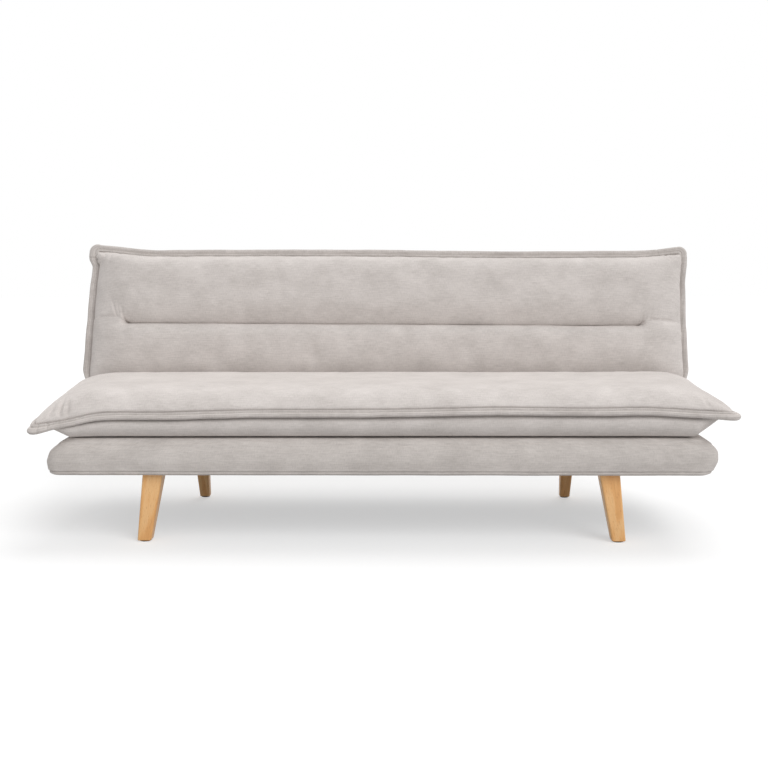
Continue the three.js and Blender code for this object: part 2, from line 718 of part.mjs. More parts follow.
addBox(seat, {
  prefix: 'seat', hingeEnd: seat_to_hinge, outerEnd: seat_front, outward: -1,
  railHalf: seat_rail_half, hingeRail: rear_rail_thickness, springCount: seat_spring_count,
  outerName: 'front', hingeName: 'rear', clothName: 'seat_dust_cover', clothMaterial: blackCloth,
  bores: legPlaces, railBores: legPlaces.filter(([, y]) => y > frontLegY),
  stretchers: sides.map(([name, side]) => [name, side * (front_leg_x + rear_leg_x) / 2]),
});
addLegs(seat, legs);
piece(seat, 'seat_pillow', pillowGeometry(seat_pillow_reach, -1, seat_corner_ear, 0), fabric);

addBox(back, {
  prefix: 'back', hingeEnd: -back_below_hinge, outerEnd: back_top, outward: 1,
  railHalf: back_rail_half, hingeRail: rail_thickness, springCount: back_spring_count,
  outerName: 'top', hingeName: 'bottom', clothName: 'back_rear_cover', clothMaterial: fabric,
});
piece(back, 'back_pillow', pillowGeometry(back_pillow_reach, 1, back_corner_ear, channel_from_hinge), fabric);

// The ratchet hinge at each end of the sofa
for (const [name, side] of sides) {
  const seatPlate = sidePlate(seatHingeShape(), seat_plate_x, seat_plate_x + plate_thickness, 12);
  const seatHeads = [[-plate_reach * 0.9, rail_top - boss_radius * 1.2], [-plate_reach / 2, rail_top - pin_radius]];
  const seatFace = seat_plate_x + plate_thickness;
  piece(seat, `seat_hinge_plate_${name}`, sided(withBoltHeads(seatPlate, seatHeads, seatFace), side), steel);
  const pin = rivetGeometry(pin_radius, arm_x - seat_gap, seatFace + seat_gap, rivet_head_height, rivet_head_height);
  piece(seat, `hinge_pin_${name}`, sided(pin, side), steel);

  const arm = sidePlate(backArmShape(), arm_x, arm_x + plate_thickness, 12);
  const armHeads = [[arm_reach * 0.66, rail_top - rail_thickness], [arm_reach * 0.92, rail_top - rail_thickness]];
  const armFace = arm_x + plate_thickness;
  piece(back, `back_hinge_arm_${name}`, sided(withBoltHeads(arm, armHeads, armFace), side), steel);
  const pawlPin = rivetGeometry(pawl_pin_radius, arm_x, seatFace + seat_gap, 0, rivet_head_height)
    .translate(0, pawl_pivot_out, -pawl_pivot_down);
  piece(back, `pawl_rivet_${name}`, sided(pawlPin, side), steel);
  const leaf = sidePlate(leafShape(), seat_plate_x, seatFace, 6);
  piece(back, `pawl_spring_${name}`, sided(leaf, side), steel);

  const pawl = new THREE.Group();
  pawl.position.set(0, pawl_pivot_out, -pawl_pivot_down);
  pawl.rotation.x = radians(pawl_lift_deg);
  back.add(pawl);
  piece(pawl, `ratchet_pawl_${name}`, sided(sidePlate(pawlShape(), seat_plate_x, seatFace, 12), side), steel);
}

// The origin is on the floor under the middle of the sofa's outline
const outline = new THREE.Box3().setFromObject(sofa, true);
sofa.position.set(0, -(outline.min.y + outline.max.y) / 2, -floor_z);
console.log(`hinge line at y ${sofa.position.y.toFixed(3)}, z ${sofa.position.z.toFixed(3)}`);

export default sofa;
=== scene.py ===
# Looks for a click clack sofa bed: two flanged pillows on padded boxes, a ratchet hinge at each
# end and four tapered beech legs. Lengths are in metres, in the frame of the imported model.
import json
import math

import bmesh
import bpy
import numpy as np
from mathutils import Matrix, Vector, noise

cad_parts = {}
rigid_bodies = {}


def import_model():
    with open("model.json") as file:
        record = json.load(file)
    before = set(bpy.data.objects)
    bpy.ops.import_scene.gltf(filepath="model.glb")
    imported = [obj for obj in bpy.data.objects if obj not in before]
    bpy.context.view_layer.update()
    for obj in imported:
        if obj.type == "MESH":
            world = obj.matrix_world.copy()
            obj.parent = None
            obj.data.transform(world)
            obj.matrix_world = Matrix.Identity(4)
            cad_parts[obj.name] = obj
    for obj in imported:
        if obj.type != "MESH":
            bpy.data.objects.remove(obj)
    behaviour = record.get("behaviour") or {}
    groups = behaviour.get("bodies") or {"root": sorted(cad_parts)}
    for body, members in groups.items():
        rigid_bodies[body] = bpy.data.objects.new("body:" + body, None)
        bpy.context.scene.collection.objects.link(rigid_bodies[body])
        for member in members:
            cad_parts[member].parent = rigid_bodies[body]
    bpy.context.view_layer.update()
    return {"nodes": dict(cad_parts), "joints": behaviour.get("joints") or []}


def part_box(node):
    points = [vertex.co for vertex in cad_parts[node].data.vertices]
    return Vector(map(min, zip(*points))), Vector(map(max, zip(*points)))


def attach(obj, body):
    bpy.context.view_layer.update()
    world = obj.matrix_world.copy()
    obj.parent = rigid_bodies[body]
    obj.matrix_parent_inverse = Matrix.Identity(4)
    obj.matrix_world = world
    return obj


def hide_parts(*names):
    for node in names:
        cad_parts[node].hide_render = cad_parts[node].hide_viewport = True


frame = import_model()
MM = 0.001

# The fold: everything on a box is laid out lying flat, as distance from the hinge line and
# height over it, then turned up for the back
recline = next(j for j in frame["joints"] if j["name"] == "back_recline")
HINGE_Y, HINGE_Z = recline["pos_m"][1], recline["pos_m"][2]
FOLD = math.radians(recline["range_deg"][1])
FORWARD = math.radians(-recline["range_deg"][0])
NOSE_SLOPE = math.tan((FOLD + FORWARD) / 2)

# Boxes under the pillows
FACE = -16 * MM
BOX_HEIGHT = 102 * MM
BASE = FACE - BOX_HEIGHT
BOX_HALF = 931 * MM
CAVITY_HALF = 892 * MM
SEAT_PANEL_HALF = 885 * MM
BACK_PANEL_HALF = 880.4 * MM
PADDING = 26.3 * MM
DECK = 14 * MM
SEAT_NEAR, SEAT_FAR = 27 * MM, 587 * MM
BACK_NEAR, BACK_FAR = -11.5 * MM, 476.5 * MM

# Pillows
SEAM_HALF = 955 * MM
CROWN_TOP = 121 * MM
SEAM_UP = 56 * MM
LIP = 30 * MM
END_ROUND = 200 * MM
EDGE_BAND = 80 * MM
CHANNEL_BELOW, CHANNEL_ABOVE = 56 * MM, 86 * MM
BULGE_AT = 0.13
SWELL = 2.2

# The underside beyond the box, as millimetres in from the outer seam and share of the way up to it:
# off the box in a long thin wedge, out in a roll, then in under the flange
UNDER_SHAPE = [(75, 0), (52, 0.012), (32, 0.036), (18, 0.075), (7, 0.135), (-2, 0.235), (-8, 0.36),
               (-9.5, 0.5), (-8.5, 0.6), (-4, 0.69), (3, 0.76), (5, 0.84), (4, 0.93), (0, 1)]


def mix(a, b, t):
    return a + (b - a) * t


def clamp(t):
    return np.clip(t, 0.0, 1.0)


def ease(t):
    t = clamp(t)
    return t * t * (3 - 2 * t)


def swell(t):
    return (1 - (1 - clamp(t)) ** SWELL) ** (1 / SWELL)


def rise(value, start, end):
    return clamp((value - start) / (end - start)) ** 2


def bump(value, centre, width):
    return np.exp(-(((value - centre) / width) ** 2))


def spots(*parts):
    """Points from their parts, each an array or one number for all of them."""
    return np.stack(np.broadcast_arrays(*parts), -1)


def noise_of(points, scale, seed=0.0):
    """Smooth noise from about -1 to 1 at each point of an array."""
    flat = np.asarray(points, float).reshape(-1, 3) / scale + seed
    values = np.fromiter((noise.noise(Vector(p)) for p in flat), float, len(flat))
    return values.reshape(np.asarray(points).shape[:-1])


def noise_line(values, scale, seed=0.0):
    values = np.asarray(values, float)
    return noise_of(spots(values, 0, 0), scale, seed)


def seat_place(points):
    """Flat layout (across, distance from the hinge, height) to the seat's place."""
    p = np.asarray(points, float)
    return spots(p[..., 0], HINGE_Y - p[..., 1], HINGE_Z + p[..., 2])


def back_place(points):
    """The same for the back, turned up to its upright place."""
    p = np.asarray(points, float)
    c, s = math.cos(FOLD), math.sin(FOLD)
    y, z = p[..., 1] * c - p[..., 2] * s, p[..., 1] * s + p[..., 2] * c
    return spots(p[..., 0], HINGE_Y + y, HINGE_Z + z)


def even_path(points, count):
    """A path resampled to evenly spaced points."""
    points = np.asarray(points, float)
    steps = np.linalg.norm(np.diff(points, axis=0), axis=1)
    along = np.concatenate([[0], np.cumsum(steps)])
    at = np.linspace(0, along[-1], count)
    return np.stack([np.interp(at, along, points[:, k]) for k in range(points.shape[1])], -1)


def soften_path(points, passes):
    points = np.array(points, float)
    for _ in range(passes):
        points[1:-1] = (points[:-2] + 2 * points[1:-1] + points[2:]) / 4
    return points


def soften_grid(values, passes):
    """Blurs a grid of vectors, leaving its rim as it is."""
    values = np.array(values, float)
    for _ in range(passes):
        v = values
        inner = (v[:-2, 1:-1] + v[2:, 1:-1] + v[1:-1, :-2] + v[1:-1, 2:] + 4 * v[1:-1, 1:-1]) / 8
        values = v.copy()
        values[1:-1, 1:-1] = inner
    return values


def resample(values, places):
    """Rows of an array at fractional places, through a smooth curve."""
    values = np.asarray(values, float)
    places = np.asarray(places, float)
    last = len(values) - 1
    i = np.clip(np.floor(places).astype(int), 0, last - 1)
    t = (places - i).reshape((-1,) + (1,) * (values.ndim - 1))
    p0, p1 = values[np.maximum(i - 1, 0)], values[i]
    p2, p3 = values[i + 1], values[np.minimum(i + 2, last)]
    a = 2 * p1
    b = p2 - p0
    c = 2 * p0 - 5 * p1 + 4 * p2 - p3
    d = -p0 + 3 * p1 - 3 * p2 + p3
    return 0.5 * (a + b * t + c * t ** 2 + d * t ** 3)


def new_object(name, points, faces, uv=None, smooth=True):
    """A mesh object from points and faces, with an optional cloth layout per point in metres."""
    mesh = bpy.data.meshes.new(name)
    mesh.from_pydata(np.asarray(points, float).tolist(), [], [list(map(int, f)) for f in faces])
    if uv is not None:
        layer = mesh.uv_layers.new(name="cloth")
        index = np.zeros(len(mesh.loops), np.int32)
        mesh.loops.foreach_get("vertex_index", index)
        layer.data.foreach_set("uv", np.asarray(uv, np.float32)[index].ravel())
    mesh.polygons.foreach_set("use_smooth", [smooth] * len(mesh.polygons))
    mesh.update()
    obj = bpy.data.objects.new(name, mesh)
    bpy.context.scene.collection.objects.link(obj)
    return obj


def face_outwards(obj):
    """Turns a closed mesh's faces outwards, after its doubles are merged."""
    work = bmesh.new()
    work.from_mesh(obj.data)
    bmesh.ops.remove_doubles(work, verts=work.verts, dist=1e-6)
    bmesh.ops.recalc_face_normals(work, faces=work.faces)
    if work.calc_volume(signed=True) < 0:
        bmesh.ops.reverse_faces(work, faces=work.faces)
    work.to_mesh(obj.data)
    work.free()
    return obj


def apply_modifiers(obj):
    bpy.context.view_layer.update()
    evaluated = obj.evaluated_get(bpy.context.evaluated_depsgraph_get())
    mesh = bpy.data.meshes.new_from_object(evaluated)
    obj.modifiers.clear()
    obj.data = mesh
    return obj


def grid_faces(rows, columns, start=0, closed=False):
    j, i = np.meshgrid(np.arange(rows - 1), np.arange(columns if closed else columns - 1), indexing="ij")
    a, b = start + j * columns + i, start + j * columns + (i + 1) % columns
    return spots(a, b, b + columns, a + columns).reshape(-1, 4)


# Materials


class Nodes:
    """Short calls for building a node tree."""

    def __init__(self, tree):
        self.tree = tree
        tree.nodes.clear()

    def add(self, kind, **settings):
        node = self.tree.nodes.new(kind)
        for key, value in settings.items():
            setattr(node, key, value)
        return node

    def link(self, a, b):
        self.tree.links.new(a, b)

    def put(self, socket, value):
        if isinstance(value, bpy.types.NodeSocket):
            self.link(value, socket)
        else:
            socket.default_value = value

    def math(self, operation, a, b=0.0, c=0.0):
        node = self.add("ShaderNodeMath", operation=operation)
        for socket, value in zip(node.inputs, (a, b, c)):
            self.put(socket, value)
        return node.outputs[0]

    def total(self, *parts, plus=0.0):
        """A weighted sum: pairs of an output and its weight, with a plain number on top."""
        total = None
        for value, weight in parts:
            part = self.math("MULTIPLY", value, weight)
            total = part if total is None else self.math("ADD", total, part)
        return self.math("ADD", total, plus) if plus else total

    def ridges(self, value):
        """One rounded ridge for every whole step of a value."""
        return self.math("ABSOLUTE", self.math("SINE", self.math("MULTIPLY", value, math.pi)))

    def cloth_layout(self):
        return self.add("ShaderNodeUVMap", uv_map="cloth").outputs[0]

    def own_place(self):
        return self.add("ShaderNodeTexCoord").outputs["Object"]

    def noise(self, vector, scale, detail=2.0, rough=0.5):
        node = self.add("ShaderNodeTexNoise")
        self.put(node.inputs["Vector"], vector)
        node.inputs["Scale"].default_value = scale
        node.inputs["Detail"].default_value = detail
        node.inputs["Roughness"].default_value = rough
        return node.outputs["Fac"]

    def stretch(self, vector, scale, turn=(0, 0, 0)):
        node = self.add("ShaderNodeMapping")
        self.put(node.inputs["Vector"], vector)
        node.inputs["Rotation"].default_value = turn
        node.inputs["Scale"].default_value = scale
        return node.outputs[0]

    def ramp(self, fac, stops):
        node = self.add("ShaderNodeValToRGB")
        self.put(node.inputs[0], fac)
        elements = node.color_ramp.elements
        while len(elements) < len(stops):
            elements.new(0.5)
        for element, (place, colour) in zip(elements, stops):
            element.position = place
            element.color = (*colour, 1)
        return node.outputs[0]

    def blend(self, fac, a, b, kind="MIX"):
        node = self.add("ShaderNodeMix", data_type="RGBA", blend_type=kind)
        self.put(node.inputs[0], fac)
        for socket, value in ((node.inputs[6], a), (node.inputs[7], b)):
            self.put(socket, (*value, 1) if isinstance(value, tuple) and len(value) == 3 else value)
        return node.outputs[2]

    def bumps(self, height, distance, strength=1.0, normal=None):
        node = self.add("ShaderNodeBump")
        node.inputs["Strength"].default_value = strength
        node.inputs["Distance"].default_value = distance
        self.put(node.inputs["Height"], height)
        if normal is not None:
            self.link(normal, node.inputs["Normal"])
        return node.outputs[0]

    def rays(self, *kinds):
        """1 on rays of the named kinds, else 0."""
        path = self.add("ShaderNodeLightPath")
        found = path.outputs[kinds[0]]
        for kind in kinds[1:]:
            found = self.math("MAXIMUM", found, path.outputs[kind])
        return found

    def white_light(self, kind, level):
        node = self.add(kind)
        node.inputs["Color"].default_value = (1, 1, 1, 1)
        node.inputs["Strength"].default_value = level
        return node.outputs[0]

    def join(self, kind, *parts):
        """A shader node fed with the given outputs in turn."""
        node = self.add(kind)
        for socket, value in zip(node.inputs, parts):
            self.link(value, socket)
        return node.outputs[0]


class Finish(Nodes):
    """A material built round one Principled shader."""

    def __init__(self, name):
        self.material = bpy.data.materials.new(name)
        self.material.use_nodes = True
        super().__init__(self.material.node_tree)
        self.shader = self.add("ShaderNodeBsdfPrincipled")
        self.out = self.add("ShaderNodeOutputMaterial")
        self.link(self.shader.outputs[0], self.out.inputs[0])

    def finish(self, colour=None, rough=None, normal=None, **values):
        if colour is not None:
            self.put(self.shader.inputs["Base Color"], colour)
        if rough is not None:
            self.put(self.shader.inputs["Roughness"], rough)
        if normal is not None:
            self.link(normal, self.shader.inputs["Normal"])
        for key, value in values.items():
            self.shader.inputs[key.replace("_", " ")].default_value = value
        return self.material


def srgb(*values):
    """A colour as it is seen, 0 to 255, to the light that makes it."""
    c = np.array(values, float) / 255
    return tuple(np.where(c <= 0.04045, c / 12.92, ((c + 0.055) / 1.055) ** 2.4).tolist())


# Where the cloth of a flange, and of a pillow's lower face, is laid out, in metres along
FLANGE_LAYOUT, LOWER_LAYOUT = 4.0, 2.0
# Width of the painted shade in the seam where a flange starts
DITCH_SHADE_WIDTH = 6 * MM


def ribbed_weave(name, light, dark, rib, thread):
    """Soft chenille weave: ribs across the cloth, broken up by the threads, with slubs and mottling.
    Ribs and threads are so many millimetres apart."""
    n = Finish(name)
    uv = n.cloth_layout()
    wander = n.noise(n.stretch(uv, (9, 30, 1)), 3.0, 2.0)
    split = n.add("ShaderNodeSeparateXYZ")
    n.link(uv, split.inputs[0])
    across = n.total((split.outputs[0], 1000 / thread), (wander, 1.2))
    up = n.total((split.outputs[1], 1000 / rib), (wander, 0.8))
    shifted = n.math("ADD", across, n.math("MULTIPLY", n.math("FLOOR", up), 0.5))
    fluff = n.noise(n.stretch(uv, (900, 1500, 1)), 1.0, 3.0, 0.7)
    height = n.total((n.ridges(up), 0.55), (n.ridges(shifted), 0.3), (fluff, 0.45))
    slub, cross_slub, cloud = (n.noise(n.stretch(uv, scale), 1.0, 3.0, 0.6)
                               for scale in ((34, 260, 1), (420, 90, 1), (9, 12, 1)))
    tone = n.total((slub, 0.25), (cross_slub, 0.24), (cloud, 0.31), (height, 0.2))
    # Painted shade: the flanges are made a little darker all over
    flange_shade_mask = n.math("GREATER_THAN", split.outputs[1], FLANGE_LAYOUT - 0.5)
    tone = n.math("SUBTRACT", tone, n.math("MULTIPLY", flange_shade_mask, 0.1))
    colour = n.ramp(tone, [(0.34, dark), (0.68, light)])
    # Painted shade in the seam where a flange starts, darkest at the seam
    past_seam = n.math("DIVIDE", n.math("SUBTRACT", split.outputs[1], FLANGE_LAYOUT), DITCH_SHADE_WIDTH)
    ditch_shade = n.math("MULTIPLY", flange_shade_mask, n.math("MAXIMUM", n.math("SUBTRACT", 1.0, past_seam), 0.0))
    colour = n.blend(n.math("MULTIPLY", ditch_shade, 0.75), colour, (0.4, 0.38, 0.37), "MULTIPLY")
    return n.finish(colour, 0.92, n.bumps(height, 0.7 * MM, 0.55), Sheen_Weight=0.5, Sheen_Roughness=0.5,
                    Sheen_Tint=(1, 0.94, 0.9, 1), Specular_IOR_Level=0.18)


def beech(name):
    """Pale honey beech with fine pores, read along each leg's own length."""
    n = Finish(name)
    at = n.add("ShaderNodeAttribute", attribute_name="grain").outputs["Vector"]
    drift = n.noise(n.stretch(at, (14, 14, 2.2)), 1.0, 3.0, 0.55)
    rings = n.total((n.math("SINE", n.math("MULTIPLY", drift, 34.0)), 0.5), plus=0.5)
    fibre = n.noise(n.stretch(at, (620, 620, 14)), 1.0, 4.0, 0.65)
    flecks = n.noise(n.stretch(at, (900, 900, 60)), 1.0, 2.0, 0.5)
    tone = n.total((rings, 0.4), (fibre, 0.6))
    colour = n.ramp(tone, [(0.1, srgb(226, 162, 96)), (0.5, srgb(244, 187, 122)), (0.9, srgb(252, 207, 150))])
    fleck = n.ramp(flecks, [(0.30, srgb(176, 124, 74)), (0.40, srgb(255, 255, 255))])
    colour = n.blend(0.45, colour, fleck, "MULTIPLY")
    normal = n.bumps(n.total((fibre, 0.7), (flecks, 0.5)), 0.12 * MM, 0.4)
    return n.finish(colour, n.total((fibre, 0.18), plus=0.34), normal, Coat_Weight=0.12, Coat_Roughness=0.3)


def planed_timber(name, scale, turn):
    """Planed pine for the hidden frame; the scale stretches its grain along the rail."""
    n = Finish(name)
    at = n.stretch(n.stretch(n.own_place(), (1, 1, 1), turn), scale)
    drift = n.noise(at, 1.0, 3.0, 0.55)
    rings = n.math("SINE", n.math("MULTIPLY", drift, 30.0))
    fibre = n.noise(n.stretch(at, (9, 9, 9)), 2.0, 4.0, 0.6)
    tone = n.total((rings, 0.22), (fibre, 0.9))
    colour = n.ramp(tone, [(0.2, srgb(186, 142, 92)), (0.75, srgb(228, 196, 150))])
    return n.finish(colour, 0.62, n.bumps(tone, 0.3 * MM, 0.4))


def zinc_steel(name, tint, rough):
    """Plated steel: faint spangle, fine scratches and a little dirt."""
    n = Finish(name)
    at = n.own_place()
    cloud = n.noise(at, 60.0, 3.0)
    scratch = n.noise(n.stretch(at, (1400, 90, 90)), 1.0, 2.0)
    colour = n.ramp(cloud, [(0.3, tuple(0.8 * c for c in tint)), (0.7, tint)])
    roughness = n.total((cloud, 0.2), (scratch, 0.12), plus=rough - 0.12)
    return n.finish(colour, roughness, n.bumps(scratch, 0.05 * MM, 0.25), Metallic=1.0)


def moulded_nylon(name):
    n = Finish(name)
    at = n.own_place()
    grain = n.noise(at, 1800.0, 2.0)
    colour = n.ramp(n.noise(at, 90.0, 2.0), [(0.3, srgb(26, 26, 28)), (0.7, srgb(40, 40, 42))])
    return n.finish(colour, n.total((grain, 0.2), plus=0.42), n.bumps(grain, 0.08 * MM, 0.3))


def felted_cloth(name):
    """Black non-woven dust cloth with its pressed dot pattern."""
    n = Finish(name)
    uv = n.cloth_layout()
    cells = n.add("ShaderNodeTexVoronoi", feature="F1")
    cells.inputs["Randomness"].default_value = 0.25
    cells.inputs["Scale"].default_value = 420.0
    n.link(uv, cells.inputs["Vector"])
    fibre = n.noise(n.stretch(uv, (700, 900, 1)), 1.0, 4.0, 0.7)
    dots = n.math("MINIMUM", n.math("MULTIPLY", cells.outputs["Distance"], 2.2), 1.0)
    tone = n.total((dots, 0.4), (fibre, 0.6))
    colour = n.ramp(tone, [(0.25, srgb(20, 20, 22)), (0.8, srgb(52, 52, 56))])
    return n.finish(colour, 0.95, n.bumps(tone, 0.2 * MM, 0.6))


def spun_thread(name):
    """Sewing thread, read round its own twist."""
    n = Finish(name)
    twist = n.noise(n.own_place(), 2600.0, 2.0)
    colour = n.ramp(twist, [(0.3, srgb(188, 178, 171)), (0.7, srgb(214, 205, 198))])
    return n.finish(colour, 0.7, n.bumps(twist, 0.1 * MM, 0.5), Sheen_Weight=0.15)


PILLOW_CLOTH = ribbed_weave("pillow_cloth", srgb(230, 223, 219), srgb(180, 173, 168), 2.9, 2.3)
BOX_CLOTH = ribbed_weave("box_cloth", srgb(226, 219, 214), srgb(174, 167, 162), 3.1, 2.4)
BEECH = beech("honey_beech")
PINE_ACROSS = planed_timber("pine_across", (3, 60, 60), (0, 0, 0))
PINE_DEEP = planed_timber("pine_deep", (60, 3, 60), (0, 0, 0))
PINE_BACK = planed_timber("pine_back", (60, 3, 60), (-FOLD, 0, 0))
ZINC = zinc_steel("zinc_plated_steel", srgb(205, 205, 202), 0.34)
SPRING_STEEL = zinc_steel("oiled_spring_wire", srgb(130, 131, 134), 0.38)
NYLON = moulded_nylon("black_nylon")
FELT = felted_cloth("dust_cloth")
THREAD = spun_thread("sewing_thread")


def dress(obj, material, body=None):
    """Gives a piece its material and, when one is named, its body."""
    obj.data.materials.clear()
    obj.data.materials.append(material)
    if body:
        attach(obj, body)
    return obj


# Pillows


def even_table(pairs):
    """A smooth curve through (across, value) pairs in millimetres, as evenly spaced places and values."""
    across = np.linspace(-SEAM_HALF, SEAM_HALF, 161)
    places, values = np.array(pairs, float).T * MM
    return across, soften_path(np.interp(across, places, values)[:, None], 14)[:, 0]


def read_table(table, x):
    return np.interp(x, *table)


class Pillow:
    """A flanged pillow in the flat layout: a crowned upper face, a lower face on its box, a flange."""

    spacing = 11 * MM

    def __init__(self, name, seam_reach, place, shape):
        self.name, self.seam_reach, self.place = name, seam_reach, place
        self.seam, self.reach = even_table(shape["seam"]), even_table(shape["reach"])
        self.ends = shape["ends"]
        self.near_round, self.nose = shape["near_round"], shape["nose"]
        self.sides, self.channel, self.flange = shape["sides"], shape.get("channel"), shape["flange"]
        self.shoulder, self.bulge, self.creases = shape["shoulder"], shape["bulge"], shape["creases"]
        x = np.linspace(0, SEAM_HALF, 4001)
        across = spots(x, mix(SEAM_UP, CROWN_TOP, swell((SEAM_HALF - x) / END_ROUND)))
        # Columns stand closer together towards the end seams and at the ends of the channel
        fine = ease((x - SEAM_HALF + 120 * MM) / (70 * MM))
        if self.channel:
            fine = np.maximum(fine, bump(x, sum(self.channel["ends"]) / 2, 55 * MM))
        steps = np.linalg.norm(np.diff(across, axis=0), axis=1) / mix(1.1, 0.4, fine[1:])
        along = np.concatenate([[0], np.cumsum(steps)])
        half = np.interp(np.linspace(0, along[-1], int(round(along[-1] / self.spacing)) + 1), along, x)
        self.x = np.concatenate([-half[:0:-1], half])
        self.upper, self.sink = self.upper_profile()
        self.lower = self.lower_profile(len(self.upper))

    def rows_along(self, path, fineness=1.0):
        length = np.linalg.norm(np.diff(path, axis=0), axis=1).sum()
        return even_path(path, max(int(round(length / self.spacing / fineness)), 2) + 1)

    def graded_rows(self, path):
        """Rows along a path, closer together in the last stretch before the outer seam."""
        whole = even_path(path, 900)
        edge = whole[:, 0] > self.seam_reach - EDGE_BAND
        return np.concatenate([self.rows_along(whole[~edge])[:-1], self.rows_along(whole[edge], 0.5)])

    def upper_profile(self):
        """From the lip at the hinge over the slanted nose and the crown to the outer seam, and how far
        the sewn channel moves each row outwards and down."""
        crown = CROWN_TOP - FACE
        path = [(LIP, 1.5 * MM)]
        for off, up in self.nose:
            height = mix(2.5 * MM, CROWN_TOP, up)
            path.append((height * NOSE_SLOPE + crown * off, height))
        inward, up = np.array(self.shoulder[::-1]).T
        outer = spots(self.seam_reach - inward * MM, mix(SEAM_UP, CROWN_TOP, up))
        outer = soften_path(even_path(outer, 90), 10)
        if not self.channel:
            path.append((path[-1][0] + 40 * MM, CROWN_TOP))
            nose = soften_path(even_path(path, 60), 8)
            rows = self.graded_rows(np.concatenate([nose, outer]))
            return rows, np.zeros_like(rows)
        at = self.channel["at"]
        start, end = at - CHANNEL_BELOW, at + CHANNEL_ABOVE
        path.append((start, CROWN_TOP))
        nose = self.rows_along(soften_path(even_path(path, 60), 8))
        outer = self.graded_rows(np.concatenate([[(end, CROWN_TOP)], outer[outer[:, 0] > end + 5 * MM]]))
        # The lower roll turns down into the channel, and the upper one hangs a little over it
        low = np.radians(np.linspace(90, -16, 9))
        low_roll = spots(-46 * MM + 37 * MM * np.cos(low), 36 * MM * (1 - np.sin(low)))
        high = np.linspace(1, 0, 10)
        high_roll = spots(82 * MM - 89 * MM * high, 34 * MM * high ** 2.5)
        bottom = np.array([[-5 * MM, 50 * MM], [-7.5 * MM, 44 * MM], [-8 * MM, 39 * MM]])
        rolls = np.concatenate([low_roll, bottom, high_roll])
        flat = np.concatenate([np.linspace(start, at, 11)[1:], np.linspace(at, end, 14)[1:-1]])
        sunk = spots(at + rolls[:, 0] - flat, rolls[:, 1])
        rows = np.concatenate([nose, spots(flat, CROWN_TOP), outer])
        sink = np.concatenate([nose * 0, sunk, outer * 0])
        return rows, sink

    def lower_profile(self, count):
        """Up from the lip, flat on the box, then round under the overhang to the seam."""
        rest = FACE + 0.3 * MM
        end = self.seam_reach - UNDER_SHAPE[0][0] * MM
        path = [(LIP, -1.5 * MM), (LIP + 16 * MM, rest), (end, rest)]
        inward, up = np.array(UNDER_SHAPE).T
        under = spots(self.seam_reach - inward * MM, mix(rest, SEAM_UP, up))
        fine = count // 3
        under = even_path(soften_path(even_path(under, 120), 6), fine + 1)
        return np.concatenate([even_path(path, count - fine), under[1:]])

    def by_side(self, pair, x):
        return mix(pair[0], pair[1], ease(0.5 + x / (2 * SEAM_HALF)))

    def seam_height(self, x, distance):
        """Height of the end seams: up from the lip, then to the outer seam's own height."""
        share = clamp((distance / self.seam_reach - 0.35) / 0.65) ** 1.2
        return SEAM_UP * ease((distance - LIP) / (38 * MM)) + read_table(self.seam, x) * share

    def stretch(self, x, distance):
        """The outer seam's own line: it bows a little, and the corners reach out into ears."""
        outer = rise(distance, self.seam_reach * 0.55, self.seam_reach)
        return distance + (read_table(self.reach, x) + 1.2 * MM * noise_line(x, 0.2, 6.6)) * outer

    def waist(self, x, distance):
        """How far each side edge stands out, by its share of the way from the hinge."""
        share = (distance - LIP) / (self.seam_reach - LIP)
        places = [0, 0.25, 0.5, 0.8, 0.94, 1]
        left, right = (np.interp(share, places, np.array(side) * MM) for side in self.sides)
        return np.where(x < 0, -left, right) * rise(np.abs(x), 0.72, SEAM_HALF)

    def fullness(self, x, distance):
        """From 0 at an end seam to 1 where the crown is reached; the ends are fuller near the hinge."""
        front = ease((distance / self.seam_reach - 0.3) / 0.6)
        u = clamp((SEAM_HALF - np.abs(x)) / (END_ROUND * mix(self.by_side(self.near_round, x), 1, front)))
        return mix(swell(u), 1 - (1 - u) ** 2.7, self.by_side(self.ends, x) * front)

    def channel_line(self, x):
        """Distance of the sewn channel from the hinge; past its stitched part it steps up and fades."""
        left, right = self.channel["ends"]
        step = ease((-x - left + 8 * MM) / (40 * MM)) + 0.8 * ease((x - right + 12 * MM) / (56 * MM))
        slope = self.channel["slope"] * (x / SEAM_HALF + 1)
        return self.channel["at"] + slope + 12 * MM * step + 1.6 * MM * noise_line(x, 0.21, 9.3)

    def channel_depth(self, x, above=0.0):
        """Share of the channel's full depth; higher above it, its ends run out more softly."""
        left, right = self.channel["ends"]
        past = np.maximum(-x - left, x - right)
        deep = 1 - ease((past + 12 * MM + 0.6 * above) / (32 * MM + 1.1 * above))
        fade = ease((SEAM_HALF - np.abs(x)) / (60 * MM))
        return deep + (1 - deep) * 0.17 * mix(0.4, 1.0, fade)

    def faces(self):
        """Upper and lower faces as grids; they share their rims."""
        x = self.x[None, :]
        d, h = self.upper[:, :1], self.upper[:, 1:]
        outer = np.where(d > self.seam_reach / 2, (CROWN_TOP - h) / (CROWN_TOP - SEAM_UP), 0)
        h = h + read_table(self.seam, x) * clamp(outer)
        top_height = mix(np.minimum(self.seam_height(x, d), h), h, self.fullness(x, d))
        distance = d + 0 * x
        if self.channel:
            near = np.exp(-((d - self.channel["at"]) / (90 * MM)) ** 2)
            depth = self.channel_depth(x, np.maximum(d - self.channel["at"], 0))
            distance = d + (self.channel_line(x) - self.channel["at"]) * near + self.sink[:, :1] * depth
            top_height = top_height - self.sink[:, 1:] * depth
